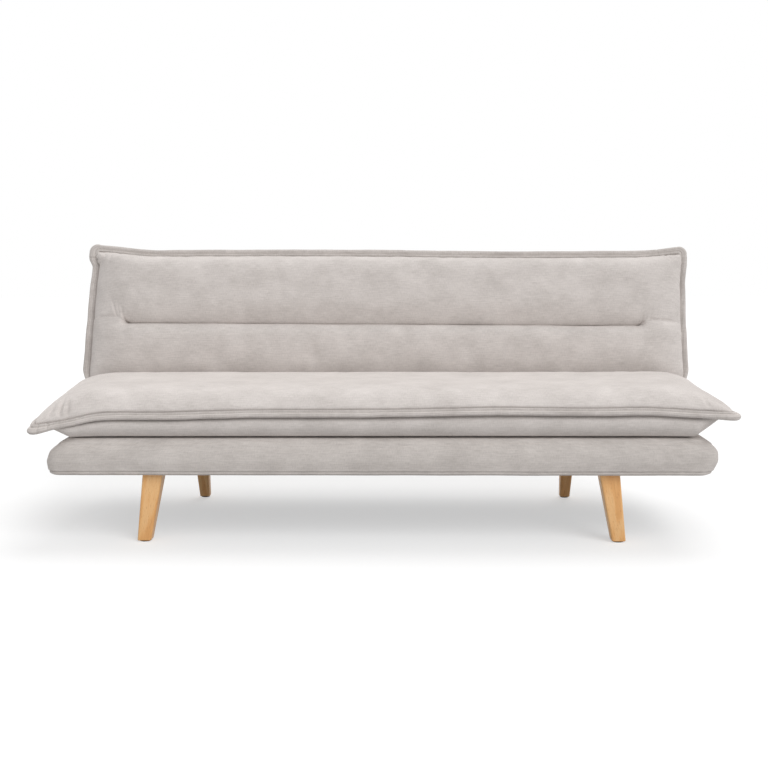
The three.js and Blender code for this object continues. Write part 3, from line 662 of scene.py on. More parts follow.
        # The cloth bulges a little over its seams, so each flange starts in a groove
        above = clamp((top_height - self.seam_height(x, d)) / (CROWN_TOP - SEAM_UP)) / BULGE_AT
        bulge = above * np.exp(1 - above)
        sideways = self.bulge[0] * bulge * (1 - ease((SEAM_HALF - np.abs(x)) / (70 * MM))) * np.sign(x)
        distance = distance + self.bulge[1] * bulge * (1 - ease((self.seam_reach - d) / (70 * MM)))
        distance = self.stretch(x, distance)
        top = spots(x + self.waist(x, distance) + sideways, distance, top_height)
        ld, lh = self.lower[:, :1], self.lower[:, 1:]
        raised = clamp((lh - FACE) / (SEAM_UP - FACE)) * np.where(ld > self.seam_reach / 2, 1, 0)
        lh = lh + read_table(self.seam, x) * raised
        lift = 1 - clamp((SEAM_HALF - np.abs(x)) / (89 * MM)) ** 0.8
        distance = mix(ld, d, lift)
        height = mix(lh, self.seam_height(x, distance), lift)
        distance = self.stretch(x, distance)
        bottom = spots(x + self.waist(x, distance), distance, height)
        bottom[0], bottom[-1], bottom[:, 0], bottom[:, -1] = top[0], top[-1], top[:, 0], top[:, -1]
        return top, bottom


def rim_of(grid):
    """A grid's rim as one loop of (row, column), from the near left corner anticlockwise."""
    rows, columns = grid.shape[:2]
    loop = [(0, i) for i in range(columns)]
    loop += [(j, columns - 1) for j in range(1, rows)]
    loop += [(rows - 1, i) for i in range(columns - 2, -1, -1)]
    loop += [(j, 0) for j in range(rows - 2, 0, -1)]
    return loop


def bag_of(top, bottom):
    """One closed bag from the two faces: points, quads and each grid's point numbers."""
    rows, columns = top.shape[:2]
    upper = np.arange(rows * columns).reshape(rows, columns)
    lower = upper.copy()
    inner = (rows - 2) * (columns - 2)
    lower[1:-1, 1:-1] = rows * columns + np.arange(inner).reshape(rows - 2, columns - 2)
    points = np.concatenate([top.reshape(-1, 3), bottom[1:-1, 1:-1].reshape(-1, 3)])

    def quads(ids, flip):
        a, b, c, d = ids[:-1, :-1], ids[:-1, 1:], ids[1:, 1:], ids[1:, :-1]
        order = (a, d, c, b) if flip else (a, b, c, d)
        return np.stack(order, -1).reshape(-1, 4)

    return points, np.concatenate([quads(upper, False), quads(lower, True)]), upper, lower


# How the settled cloth is used: its cut is oversized by a share, a start a little uneven, no point moves
# past a limit, and only shares of its folds and of its broad change of form are kept
OVERSIZE, UNEVEN, MOVE_LIMIT, FOLD_SHARE, BROAD_SHARE = 0.016, 0.35 * MM, 24 * MM, 0.4, 0.12


def settle_cloth(name, points, quads, held, grow, frames=16):
    """Blows the bag up as slightly oversized cloth, held at its seams, and gives the settled points."""
    bag = new_object(name + "_bag", points, quads)
    group = bag.vertex_groups.new(name="held")
    group.add(np.nonzero(held)[0].tolist(), 1.0, "REPLACE")
    cloth = bag.modifiers.new("cloth", "CLOTH")
    s = cloth.settings
    s.quality = 5
    s.mass = 0.35
    s.tension_stiffness = s.compression_stiffness = 18
    s.shear_stiffness = 6
    s.bending_stiffness = 1.5
    s.air_damping = 4
    s.use_pressure = True
    s.uniform_pressure_force = 4
    s.vertex_group_mass = "held"
    s.shrink_min = -grow
    s.effector_weights.gravity = 0
    cloth.collision_settings.use_collision = False
    cloth.collision_settings.use_self_collision = False
    cloth.point_cache.frame_start, cloth.point_cache.frame_end = 1, frames
    scene = bpy.context.scene
    for f in range(1, frames + 1):
        scene.frame_set(f)
    evaluated = bag.evaluated_get(bpy.context.evaluated_depsgraph_get())
    settled = np.zeros(len(points) * 3, np.float32)
    evaluated.data.vertices.foreach_get("co", settled)
    scene.frame_set(1)
    mesh = bag.data
    bpy.data.objects.remove(bag)
    bpy.data.meshes.remove(mesh)
    return settled.reshape(-1, 3).astype(float)


def simulate(pillow, top, bottom):
    """Adds the folds of the settled cloth to the upper face, without letting the pillow change size."""
    points, quads, upper, lower = bag_of(top, bottom)
    held = np.zeros(len(points), bool)
    held[lower] = True
    sewn = pillow.sink[:, 1:] * np.ones(top.shape[:2]) > 10 * MM
    if pillow.channel:
        sewn &= pillow.channel_depth(pillow.x)[None, :] > 0.5
    held[upper[sewn]] = True
    for j, i in rim_of(top):
        held[upper[j, i]] = True
    jitter = np.stack([noise_of(points, 0.02, seed) for seed in (1.5, 5.5, 9.5)], -1)
    start = points + UNEVEN * jitter * ~held[:, None]
    moved = settle_cloth(pillow.name, start, quads, held, OVERSIZE) - points
    length = np.linalg.norm(moved, axis=1, keepdims=True)
    moved *= MOVE_LIMIT * np.tanh(length / MOVE_LIMIT) / np.maximum(length, 1e-9)
    shift = moved[upper]
    broad = soften_grid(shift, 60)
    return top + soften_grid(shift - broad, 2) * FOLD_SHARE + broad * BROAD_SHARE, bottom


# A flange's section: share of its width, and half its thickness in millimetres, with a ridge along
# the seam, a stitched groove and a plump outer edge
FLANGE_SECTION = [(0, 1.2), (0.05, 1.3), (0.12, 2.5), (0.2, 3.1), (0.3, 3.1), (0.38, 2.5), (0.43, 1.7),
                  (0.48, 2.5), (0.57, 3.8), (0.68, 4.5), (0.8, 4.5), (0.9, 3.7), (0.965, 2.3), (1, 0)]
STITCH_PLACE = 6
SEAM_EDGE = 1.2 * MM
SEAM_SHARE = 0.12
CORNER_STEPS = 9


class Flange:
    """The sewn flange round a pillow's rim: at each rim point a place, a way out, a width and a bend."""

    def __init__(self, pillow, rim, corners):
        widths, bends, tips = pillow.flange["widths"], pillow.flange["bends"], pillow.flange["tips"]
        sides = [np.array([0, -1.0]), np.array([1.0, 0]), np.array([0, 1.0]), np.array([-1.0, 0])]
        length = np.concatenate([[0], np.cumsum(np.linalg.norm(np.diff(rim, axis=0), axis=1))])
        places, outs, sizes, turns, gaps = [], [], [], [], []
        side = 3
        for k, point in enumerate(rim):
            gap = min(abs(length[k] - length[c]) for c in corners[2:])
            following = (side + 1) % 4
            for t in np.linspace(0, 1, CORNER_STEPS) if k in corners else [0.0]:
                angle = t * math.pi / 2
                places.append(point)
                outs.append(sides[side] * math.cos(angle) + sides[following] * math.sin(angle))
                square = 1 + pillow.flange["square"] * math.sin(math.pi * t)
                sizes.append(mix(widths[side], widths[following], t) * square)
                turns.append([mix(bends[side][n], bends[following][n], ease(t)) for n in (0, 1)])
                gaps.append(gap)
            if k in corners:
                side = following
        self.places, self.outs = np.array(places), np.array(outs)
        left = self.places[:, 0] < 0
        along = np.linalg.norm(np.diff(self.places, axis=0), axis=1)
        self.along = np.concatenate([[0], np.cumsum(along)])
        near = np.exp(-((np.array(gaps) / (38 * MM)) ** 2))
        flare = np.where(left, tips[0][0], tips[1][0]) * near
        self.widths = np.array(sizes) * MM * (1 + flare) * (1 + 0.04 * noise_line(self.along, 0.07, 2.2))
        # The side flanges run out to a narrow edge at the hinge
        self.widths *= mix(0.3, 1, ease((self.places[:, 1] - LIP) / (75 * MM)))
        tip_bends = np.where(left[:, None], tips[0][1:], tips[1][1:])
        self.bends = mix(np.array(turns, float), tip_bends, near[:, None])
        self.bends[:, 1] += 7 * noise_line(self.along, 0.16, 7.7) + 4 * noise_line(self.along, 0.045, 3.1)
        self.bends = np.radians(self.bends)
        # Gathers where the stitches draw the flange in, deeper in the ears
        notch = np.maximum(noise_line(self.along, 0.013, 5.0) - 0.08, 0) ** 1.5
        self.gather = -notch * (4.5 + 9.0 * near) * MM
        self.plump = np.minimum(self.widths / (20 * MM), 1.2) * (1 + 0.55 * near)

    def point(self, share, half):
        """The places at a share of the width, a half thickness above the flange's middle line."""
        steps = np.linspace(0, share, 13)
        bend = self.bends[:, 1:] - self.bends[:, :1]
        angle = self.bends[:, :1] + bend * (steps[:-1] + steps[1:])[None, :] / 2
        piece = self.widths[:, None] * share / 12
        out, down = (np.cos(angle) * piece).sum(1), (np.sin(angle) * piece).sum(1)
        past_seam = min(share / SEAM_SHARE, 1)
        end = (self.bends[:, 0] + (self.bends[:, 1] - self.bends[:, 0]) * share) * past_seam
        thick = mix(math.copysign(SEAM_EDGE, half), half * self.plump, past_seam)
        thick = thick + self.gather * math.copysign(min(share * 4, 1) * (1 - 0.55 * share), half)
        plan = (out + thick * np.sin(end))[:, None]
        up = -down + thick * np.cos(end)
        return np.concatenate([self.places[:, :2] + self.outs * plan, (self.places[:, 2] + up)[:, None]], 1)

    def loops(self):
        upper = [self.point(share, half * MM) for share, half in FLANGE_SECTION]
        lower = [self.point(share, -half * MM) for share, half in FLANGE_SECTION[-2::-1]]
        return np.array(upper + lower)

    def stitch_path(self):
        share, half = FLANGE_SECTION[STITCH_PLACE]
        return self.point(share, (half + 0.25) * MM)


def dense_places(count):
    """Fractional grid places at twice the grid's density, with close rows inside both edges."""
    last = count - 1
    places = set((np.arange(0, last * 2 + 1) / 2).tolist())
    for off in (0.12, 0.27):
        places |= {off, last - off}
    return np.array(sorted(places))


def pleat(line, depth, form):
    """A drawn-in line with a small ridge on both sides. The form gives its half width, and the ridges'
    share of its depth, distance and half width."""
    half, share, at, ridge = form[0] * MM, form[1], form[2] * MM, form[3] * MM
    return depth * MM * (share * (bump(line, at, ridge) + bump(line, -at, ridge)) - bump(line, 0, half))


def puckers(pillow, grid):
    """Small gathers beside the seams, square to them, and pleats at the ends of the channel."""
    x, d = grid[..., 0], grid[..., 1]
    end_gap = SEAM_HALF - np.abs(x)
    outer_gap = np.maximum(pillow.seam_reach + 10 * MM - d, 0)
    out = 1.3 * MM * np.exp(-outer_gap / (24 * MM)) * noise_line(x, 0.022, 11.0)
    out += 1.5 * MM * np.exp(-np.maximum(end_gap, 0) / (26 * MM)) * noise_line(d, 0.02, 23.0)
    for place, lean, amount, reach in pillow.creases:
        line = x - place * MM - lean * (pillow.seam_reach - d)
        along = ease(outer_gap / (10 * MM)) * (1 - ease((outer_gap - 0.3 * reach * MM) / (0.7 * reach * MM)))
        out += pleat(line, amount, (5.5, 0.45, 10, 6)) * along
    if not pillow.channel:
        return out
    q = d - pillow.channel_line(x)
    stitched = pillow.channel_depth(x)
    fade = np.exp(-np.abs(q) / (26 * MM))
    out -= 4.5 * MM * (1 - stitched) * np.exp(-np.abs(q) / (3.6 * MM)) * ease(end_gap / (40 * MM))
    out += 1.1 * MM * np.where(q > 0, 1.0, 0.5) * stitched * fade * noise_line(x, 0.026, 31.0)
    left, right = pillow.channel["ends"]
    for centre, sign, amount in ((-left, -1, 1.0), (right, 1, 0.45)):
        for start, lean, reach, depth in PLEATS:
            line = (x - centre) * sign - start * MM - lean * np.maximum(q, 0)
            along = ease(q / (6 * MM)) * (1 - ease((q - 0.3 * reach * MM) / (0.7 * reach * MM)))
            out += pleat(line, depth * amount, (4.2, 0.4, 8, 4.5)) * along
    return out


# Pleats at an end of the channel: start past the last stitch, lean outwards, reach and depth
PLEATS = [(24, 0.33, 60, 3.0), (14, 0.26, 46, 2.6), (3, 0.14, 40, 2.2)]


def grid_normals(grid):
    n = np.cross(np.gradient(grid, axis=1), np.gradient(grid, axis=0))
    return n / np.maximum(np.linalg.norm(n, axis=-1, keepdims=True), 1e-12)


def path_lengths(grid, sewn=None):
    """Cloth layout of a grid: metres across and metres along, measured on the surface. Past a sewn row
    the cloth is measured back from the outer seam, so the weave is not dragged askew at its ends."""
    along = np.cumsum(np.linalg.norm(np.diff(grid, axis=0, prepend=grid[:1]), axis=-1), axis=0)
    if sewn is not None:
        along[sewn:] += along[-1, grid.shape[1] // 2] - along[-1]
    across = np.cumsum(np.linalg.norm(np.diff(grid, axis=1, prepend=grid[:, :1]), axis=-1), axis=1)
    across -= across[:, across.shape[1] // 2][:, None]
    return across, along


def build_pillow(pillow):
    top, bottom = pillow.faces()
    top, bottom = simulate(pillow, top, bottom)
    rows, columns = top.shape[:2]
    row_places, column_places = dense_places(rows), dense_places(columns)

    def refine(grid):
        return np.swapaxes(resample(np.swapaxes(resample(grid, row_places), 0, 1), column_places), 0, 1)

    top, bottom = refine(top), refine(bottom)
    sewn_row = None
    if pillow.channel:
        sewn_row = int(np.searchsorted(row_places, np.argmax(pillow.sink[:, 1])))
    top_u, top_v = path_lengths(top, sewn_row)
    low_u, low_v = path_lengths(bottom)
    inside = ease((SEAM_HALF - np.abs(top[..., 0])) / (50 * MM))
    soft = (1.5 * MM * noise_of(top, 0.17, 3.7) + 0.6 * MM * noise_of(top, 0.06, 8.2)) * inside
    moved = top + grid_normals(top) * (puckers(pillow, top) + soft)[..., None]
    top[1:-1, 1:-1] = moved[1:-1, 1:-1]
    rim = rim_of(top)
    rows, columns = top.shape[:2]
    corners = [0, columns - 1, columns + rows - 2, 2 * columns + rows - 3]
    flange = Flange(pillow, np.array([top[j, i] for j, i in rim]), corners)
    for j, i in rim:
        top[j, i, 2] += SEAM_EDGE
        bottom[j, i, 2] -= SEAM_EDGE
    loops = flange.loops()
    reach = np.linspace(0, 2.4, len(loops)) * flange.widths.mean()
    flange_uv = spots(flange.along[None, :], reach[:, None] + FLANGE_LAYOUT)
    points = np.concatenate([top.reshape(-1, 3), bottom.reshape(-1, 3), loops.reshape(-1, 3)])
    size = rows * columns
    quads = np.concatenate([grid_faces(rows, columns), grid_faces(rows, columns, size)[:, ::-1],
                            grid_faces(len(loops), loops.shape[1], 2 * size, closed=True)])
    layouts = (spots(top_u, top_v), spots(low_u, low_v + LOWER_LAYOUT), flange_uv)
    uv = np.concatenate([part.reshape(-1, 2) for part in layouts])
    obj = new_object(pillow.name, pillow.place(points), quads, uv)
    face_outwards(obj)
    return obj, pillow.place(flange.stitch_path())


# Geometry Nodes: rows of stitches, wave springs and staples


class Tree:
    """Short calls for building a geometry node tree with named inputs: sizes, a seed and a material."""

    def __init__(self, name, **sizes):
        self.group = bpy.data.node_groups.new(name, "GeometryNodeTree")
        face = self.group.interface
        face.new_socket("Path", in_out="INPUT", socket_type="NodeSocketGeometry")
        self.ids = {}
        for label, value in sizes.items():
            kind = "NodeSocketInt" if isinstance(value, int) else "NodeSocketFloat"
            socket = face.new_socket(label, in_out="INPUT", socket_type=kind)
            socket.default_value = value
            self.ids[label] = socket.identifier
        self.ids["Material"] = face.new_socket("Material", in_out="INPUT",
                                               socket_type="NodeSocketMaterial").identifier
        face.new_socket("Shape", in_out="OUTPUT", socket_type="NodeSocketGeometry")
        self.inlet = self.group.nodes.new("NodeGroupInput")
        self.outlet = self.group.nodes.new("NodeGroupOutput")

    def add(self, kind, inputs=None, **settings):
        node = self.group.nodes.new(kind)
        for key, value in settings.items():
            setattr(node, key, value)
        for key, value in (inputs or {}).items():
            if isinstance(value, bpy.types.NodeSocket):
                self.group.links.new(value, node.inputs[key])
            else:
                node.inputs[key].default_value = value
        return node

    def even_points(self, step):
        """The inlet's path as a curve with evenly spaced points."""
        curve = self.add("GeometryNodeMeshToCurve", {"Mesh": self.inlet.outputs["Path"]})
        return self.add("GeometryNodeResampleCurve", {"Curve": curve.outputs[0], "Length": step},
                        mode="LENGTH")

    def turned_along(self, axis):
        tangent = self.add("GeometryNodeInputTangent")
        turn = self.add("FunctionNodeAlignRotationToVector", {"Vector": tangent.outputs[0]}, axis=axis)
        return turn.outputs[0]

    def repeat(self, points, shape, turn):
        rows = self.add("GeometryNodeInstanceOnPoints", {"Points": points.outputs[0], "Rotation": turn,
                                                         "Instance": shape.outputs[0]})
        return self.end(rows.outputs[0])

    def end(self, geometry):
        real = self.add("GeometryNodeRealizeInstances", {0: geometry})
        painted = self.add("GeometryNodeSetMaterial", {"Geometry": real.outputs[0],
                                                       "Material": self.inlet.outputs["Material"]})
        self.group.links.new(painted.outputs[0], self.outlet.inputs[0])
        return self

    def run(self, name, obj, values, body, slot):
        """Applies the tree to an object, keeps the plain mesh and lets it ride."""
        modifier = obj.modifiers.new(self.group.name, "NODES")
        modifier.node_group = self.group
        for label, value in values.items():
            modifier[self.ids[label]] = value
        obj.name = name
        apply_modifiers(obj)
        obj.data.polygons.foreach_set("use_smooth", [True] * len(obj.data.polygons))
        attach(obj, body)
        return obj


def stitch_tree():
    """Rows of sewn stitches: short plump threads laid along a path, facing out of the cloth."""
    t = Tree("sewn stitches", Pitch=6.5 * MM, Length=5.0 * MM, Thickness=0.9 * MM)
    p = t.inlet.outputs
    half = t.add("ShaderNodeMath", {0: p["Thickness"], 1: 0.5}, operation="MULTIPLY")
    rod = t.add("GeometryNodeMeshCylinder", {"Vertices": 6, "Side Segments": 3, "Radius": half.outputs[0],
                                             "Depth": p["Length"]})
    place = t.add("GeometryNodeInputPosition")
    parts = t.add("ShaderNodeSeparateXYZ", {0: place.outputs[0]})
    share = t.add("ShaderNodeMath", {0: parts.outputs[2], 1: p["Length"]}, operation="DIVIDE")
    bulge = t.add("ShaderNodeMath", {0: share.outputs[0], 1: share.outputs[0]}, operation="MULTIPLY")
    keep = t.add("ShaderNodeMath", {0: bulge.outputs[0], 1: -3.2, 2: 1.0}, operation="MULTIPLY_ADD")
    across, other = (t.add("ShaderNodeMath", {0: parts.outputs[k], 1: keep.outputs[0]}, operation="MULTIPLY")
                     for k in (0, 1))
    joined = t.add("ShaderNodeCombineXYZ", {0: across.outputs[0], 1: other.outputs[0], 2: parts.outputs[2]})
    plump = t.add("GeometryNodeSetPosition", {"Geometry": rod.outputs[0], "Position": joined.outputs[0]})
    return t.repeat(t.even_points(p["Pitch"]), plump, t.turned_along("Z"))


def wire_tree():
    """Round wire along a path, with an even step."""
    t = Tree("bent wire", Radius=1.9 * MM, Step=6 * MM)
    p = t.inlet.outputs
    circle = t.add("GeometryNodeCurvePrimitiveCircle", {"Resolution": 10, "Radius": p["Radius"]})
    wire = t.add("GeometryNodeCurveToMesh", {"Curve": t.even_points(p["Step"]).outputs[0],
                                             "Profile Curve": circle.outputs[0], "Fill Caps": True})
    return t.end(wire.outputs[0])


def staple_tree():
    """Upholstery staples along a path: a flat crown that bites into the cloth at both ends."""
    t = Tree("staples", Pitch=38 * MM, Crown=10 * MM, Wire=0.7 * MM, Seed=3)
    p = t.inlet.outputs
    tilt = t.add("FunctionNodeRandomValue", {"Seed": p["Seed"]}, data_type="FLOAT")
    tilt.inputs[2].default_value, tilt.inputs[3].default_value = -0.16, 0.16
    spin = t.add("ShaderNodeCombineXYZ", {2: tilt.outputs[1]})
    turned = t.add("FunctionNodeRotateRotation", {0: t.turned_along("X"), 1: spin.outputs[0]},
                   rotation_space="LOCAL")
    size = t.add("ShaderNodeCombineXYZ", {0: p["Crown"], 1: p["Wire"], 2: p["Wire"]})
    crown = t.add("GeometryNodeMeshCube", {"Size": size.outputs[0], "Vertices X": 4})
    return t.repeat(t.even_points(p["Pitch"]), crown, turned.outputs[0])


STITCHES, WIRE, STAPLES = stitch_tree(), wire_tree(), staple_tree()


def path_object(name, points, closed=False):
    mesh = bpy.data.meshes.new(name)
    edges = [(k, k + 1) for k in range(len(points) - 1)]
    if closed:
        edges.append((len(points) - 1, 0))
    mesh.from_pydata(np.asarray(points, float).tolist(), edges, [])
    obj = bpy.data.objects.new(name, mesh)
    bpy.context.scene.collection.objects.link(obj)
    return obj


def sew(name, path, body, slot, length=4.8 * MM, thickness=0.9 * MM, closed=False):
    """A row of stitches along a path."""
    sizes = {"Pitch": STITCH_PITCH, "Length": length, "Thickness": thickness, "Material": THREAD}
    STITCHES.run(name, path_object(name, path, closed), sizes, body, slot)


STITCH_PITCH = 6.5 * MM


# Upholstered boxes

LEVEL_SHARES = [0, 0.12, 0.37, 0.63, 0.84, 0.96, 1]
SIDE_SHARES = [0.4, 0.13, 0, 0.1, 0.42, 0.8, 1]
SEAT_LEFT_SHARES = [0.2, 0.01, -0.05, 0.12, 0.58, 0.96, 1.12]
SEAT_RIGHT_SHARES = [0.41, 0.14, -0.08, -0.06, 0.26, 0.69, 0.94]
END_SHARES = [0.55, 0.17, 0, 0.12, 0.5, 0.8, 1]
SIDE_ROUND, OUTER_EDGE_ROUND, HINGE_EDGE_ROUND, CORNER_RADIUS = 53 * MM, 24 * MM, 6 * MM, 40 * MM
HEM_UP = 10 * MM
SLOT_IN, SLOT_OUT, SLOT_LENGTH, SLOT_DEPTH = 883 * MM, 893 * MM, 46 * MM, 2 * MM


def rounded_outline(x0, x1, y0, y1, radius, spacing):
    """A rounded rectangle as evenly spaced points, anticlockwise from the middle of its near side."""
    dense = []
    corners = [(x1, y0, -90), (x1, y1, 0), (x0, y1, 90), (x0, y0, 180)]
    dense.append(((x0 + x1) / 2, y0))
    for x, y, start in corners:
        cx = x - math.copysign(radius, x - (x0 + x1) / 2)
        cy = y - math.copysign(radius, y - (y0 + y1) / 2)
        for step in range(17):
            a = math.radians(start + 90 * step / 16)
            dense.append((cx + radius * math.cos(a), cy + radius * math.sin(a)))
    dense.append(((x0 + x1) / 2, y0))
    return even_path(dense, spacing + 1)[:-1]


def box_solid(name, near, far, place, sides, creased):
    """The upholstered outside of a box as one closed smooth solid, with its hem and creases."""
    count = 700
    # Rings stand closer together round the hem and the creases
    close = np.concatenate([np.arange(4, 17, 1.1), np.arange(72, 99, 1.9)]) * MM / BOX_HEIGHT
    at = np.unique(np.concatenate([np.linspace(0, 1, 24), close]))
    at = at[np.concatenate([[True], np.diff(at) > 0.0065])]
    at[-1] = 1
    levels = len(at)
    smooth = np.linspace(0, 1, 60)

    def inset_at(shares):
        return np.interp(at, smooth, soften_path(np.interp(smooth, LEVEL_SHARES, shares)[:, None], 8)[:, 0])

    left, right = (SIDE_ROUND * inset_at(shares) for shares in sides)
    end = inset_at(END_SHARES)
    rings = []
    for k, level in enumerate(at):
        y0, y1 = near + HINGE_EDGE_ROUND * end[k], far - OUTER_EDGE_ROUND * end[k]
        radius = CORNER_RADIUS - OUTER_EDGE_ROUND * end[k] / 2
        ring = rounded_outline(-BOX_HALF + left[k], BOX_HALF - right[k], y0, y1, radius, count)
        rings.append(spots(*ring.T, BASE + BOX_HEIGHT * level))
    rings = np.array(rings)
    around = np.roll(rings, -1, axis=1) - np.roll(rings, 1, axis=1)
    normals = np.cross(around, np.gradient(rings, axis=0))
    normals /= np.maximum(np.linalg.norm(normals, axis=-1, keepdims=True), 1e-12)
    height = rings[..., 2] - BASE
    x, y = rings[..., 0], rings[..., 1]
    flat = spots(x, y, 0)
    lift = 0.9 * MM * noise_of(spots(x, y, height * 2), 0.12, 6.0)
    # The hem: a stitched line a little above the lower edge, with the fold rolling out under it
    hem = HEM_UP + 1.0 * MM * noise_of(flat, 0.3, 2.0)
    lift -= 2.6 * MM * bump(height, hem, 1.3 * MM)
    lift += 2.2 * MM * bump(height, hem - 4.5 * MM, 2.8 * MM)
    lift += 0.6 * MM * bump(height, hem + 4 * MM, 2.5 * MM)
    lift += 0.7 * MM * noise_of(flat, 0.02, 17.0) * bump(height, hem, 9 * MM)
    if creased:
        drag = noise_of(spots(x * 0.13, y * 0.13, height * 1.5), 0.011, 12.0)
        drag = np.minimum(drag, 0.12)
        lift += 5 * MM * drag * bump(height, 89 * MM, 10 * MM)
    fade = clamp((BOX_HEIGHT - height) / (4 * MM))
    rings = rings + normals * (lift * fade)[..., None]
    points = rings.reshape(-1, 3)
    faces = grid_faces(levels, count, closed=True).tolist()
    faces.append(list(range(count))[::-1])
    faces.append([(levels - 1) * count + k for k in range(count)])
    middle = rings[levels // 2]
    girth = np.cumsum(np.linalg.norm(np.diff(middle, axis=0, append=middle[:1]), axis=1))
    climb = np.cumsum(np.linalg.norm(np.diff(rings[:, 0], axis=0, prepend=rings[:1, 0]), axis=1))
    uv = spots(girth[None, :], climb[:, None]).reshape(-1, 2)
    obj = new_object(name, place(points), faces, uv)
    return obj, rings[np.argmin(np.abs(at - HEM_UP / BOX_HEIGHT))]


def block(name, x0, x1, d0, d1, h0, h1, place):
    """A plain block in the flat layout, for cutting only."""
    corners = [(x, d, h) for h in (h0, h1) for d in (d0, d1) for x in (x0, x1)]
    faces = [(0, 1, 3, 2), (4, 6, 7, 5), (0, 4, 5, 1), (2, 3, 7, 6), (0, 2, 6, 4), (1, 5, 7, 3)]
    return face_outwards(new_object(name, place(np.array(corners)), faces, smooth=False))


def cut(obj, tool, operation):
    """One exact cut, after which the tool is gone."""
    modifier = obj.modifiers.new("cut", "BOOLEAN")
    modifier.operation, modifier.solver, modifier.object = operation, "EXACT", tool
    apply_modifiers(obj)
    mesh = tool.data
    bpy.data.objects.remove(tool)
    bpy.data.meshes.remove(mesh)
    return obj


def smooth_by_angle(obj, degrees=38):
    """Smooth faces, with hard edges kept where the cloth is cut or turned."""
    mesh = obj.data
    mesh.polygons.foreach_set("use_smooth", [True] * len(mesh.polygons))
    work = bmesh.new()
    work.from_mesh(mesh)
    limit = math.radians(degrees)
    for e in work.edges:
        e.smooth = not (len(e.link_faces) == 2 and e.calc_face_angle(0) > limit)
    work.to_mesh(mesh)
    work.free()
    return obj


def build_box(body, near, far, place, panel_half, names):
    """The cover over a box and the panel that closes its hinge side, leaving slots for the hinges."""
    cover_name, panel_name, outer, hinge_side = names
    sides = (SEAT_LEFT_SHARES, SEAT_RIGHT_SHARES) if body == "seat" else (SIDE_SHARES, SIDE_SHARES)
    cover, hem = box_solid(cover_name, near, far, place, sides, body == "seat")
    panel, _ = box_solid(panel_name, near, far, place, sides, False)
    over = 60 * MM
    before, rest = near - over, (BASE - over, FACE + over)
    if body == "back":
        # Room for the seat's hinge plates when the back lies flat
        for x0, x1 in ((-SLOT_OUT, -SLOT_IN), (SLOT_IN, SLOT_OUT)):
            slot = block("hinge_slot", x0, x1, before, SLOT_LENGTH, FACE - DECK - SLOT_DEPTH, FACE + over,
                         place)
            cut(cover, slot, "DIFFERENCE")
    inner = near + PADDING
    cavity = block("cavity", -CAVITY_HALF, CAVITY_HALF, inner, far - PADDING, BASE - over, FACE - DECK, place)
    cut(cover, cavity, "DIFFERENCE")
    cut(cover, block("gap", -CAVITY_HALF, CAVITY_HALF, before, inner, *rest, place), "DIFFERENCE")
    cut(panel, block("panel", -panel_half, panel_half, before, inner - 0.3 * MM, *rest, place), "INTERSECT")
    for obj in (cover, panel):
        smooth_by_angle(obj)
        dress(obj, BOX_CLOTH, body)
    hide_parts(f"{body}_{outer}_padding", f"{body}_left_padding", f"{body}_right_padding",
                f"{body}_deck_pad")
    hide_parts(f"{body}_{hinge_side}_padding")
    # The hem's stitches follow the groove on the three outer sides
    middle = len(hem) // 4
    hem = np.roll(hem, -middle, axis=0)
    order = np.nonzero(hem[:, 1] > near + PADDING)[0]
    gap = np.nonzero(np.diff(order) > 1)[0]
    if len(gap):
        order = np.roll(order, -int(gap[0]) - 1)
    sew(f"{body}_hem_stitches", place(hem[order]), body, "box_fabric")


def cover_grid(d0, d1, columns, rows):
    """Points over the opening of a box and how far each is from the rim."""
    half = CAVITY_HALF - 0.5 * MM
    x, d = np.meshgrid(np.linspace(-half, half, columns), np.linspace(d0, d1, rows))
    return half, x, d, np.minimum(half - np.abs(x), np.minimum(d - d0, d1 - d))


def thin_cover(name, x, d, upper, lower, place):
    """A closed panel between two heights over one grid."""
    points = np.concatenate([spots(x, d, height).reshape(-1, 3) for height in (upper, lower)])
    rows, columns = x.shape
    rim = [j * columns + i for j, i in rim_of(x)]
    edge = [(a + x.size, b + x.size, b, a) for a, b in zip(rim, rim[1:] + rim[:1])]
    faces = [grid_faces(rows, columns), grid_faces(rows, columns, x.size)[:, ::-1], np.array(edge)]
    uv = spots(x.ravel(), d.ravel())
    return face_outwards(new_object(name, place(points), np.concatenate(faces), np.concatenate([uv, uv])))


def build_dust_cover():
    """Black dust cloth stretched and stapled under the seat frame, sagging a little between the rails."""
    d0, d1 = SEAT_NEAR + PADDING + 0.3 * MM, SEAT_FAR - PADDING - 0.3 * MM
    half, x, d, edge = cover_grid(d0, d1, 150, 46)
    sag = 4 * MM * ease(edge / (120 * MM)) * (0.75 + 0.25 * np.cos(2 * math.pi * x / 0.62))
    ripple = 0.9 * MM * noise_of(spots(x, d * 3, 0), 0.05, 2.5) * np.exp(-edge / (60 * MM))
    low = BASE + 0.4 * MM - sag * 0.9 + ripple * 0.5
    cover = thin_cover("dust_cover", x, d, low + 0.9 * MM, low, seat_place)
    dress(cover, FELT, "seat")
    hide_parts("seat_dust_cover")
    inset = 14 * MM
    ring = rounded_outline(-half + inset, half - inset, d0 + inset, d1 - inset, 6 * MM, 400)
    path = seat_place(spots(*ring.T, BASE + 0.1 * MM))
    staples = path_object("dust_cover_staples", path, closed=True)
    sizes = {"Pitch": 38 * MM, "Crown": 10 * MM, "Wire": 0.8 * MM, "Seed": 3, "Material": ZINC}
    STAPLES.run("dust_cover_staples", staples, sizes, "seat", "hinge_steel")


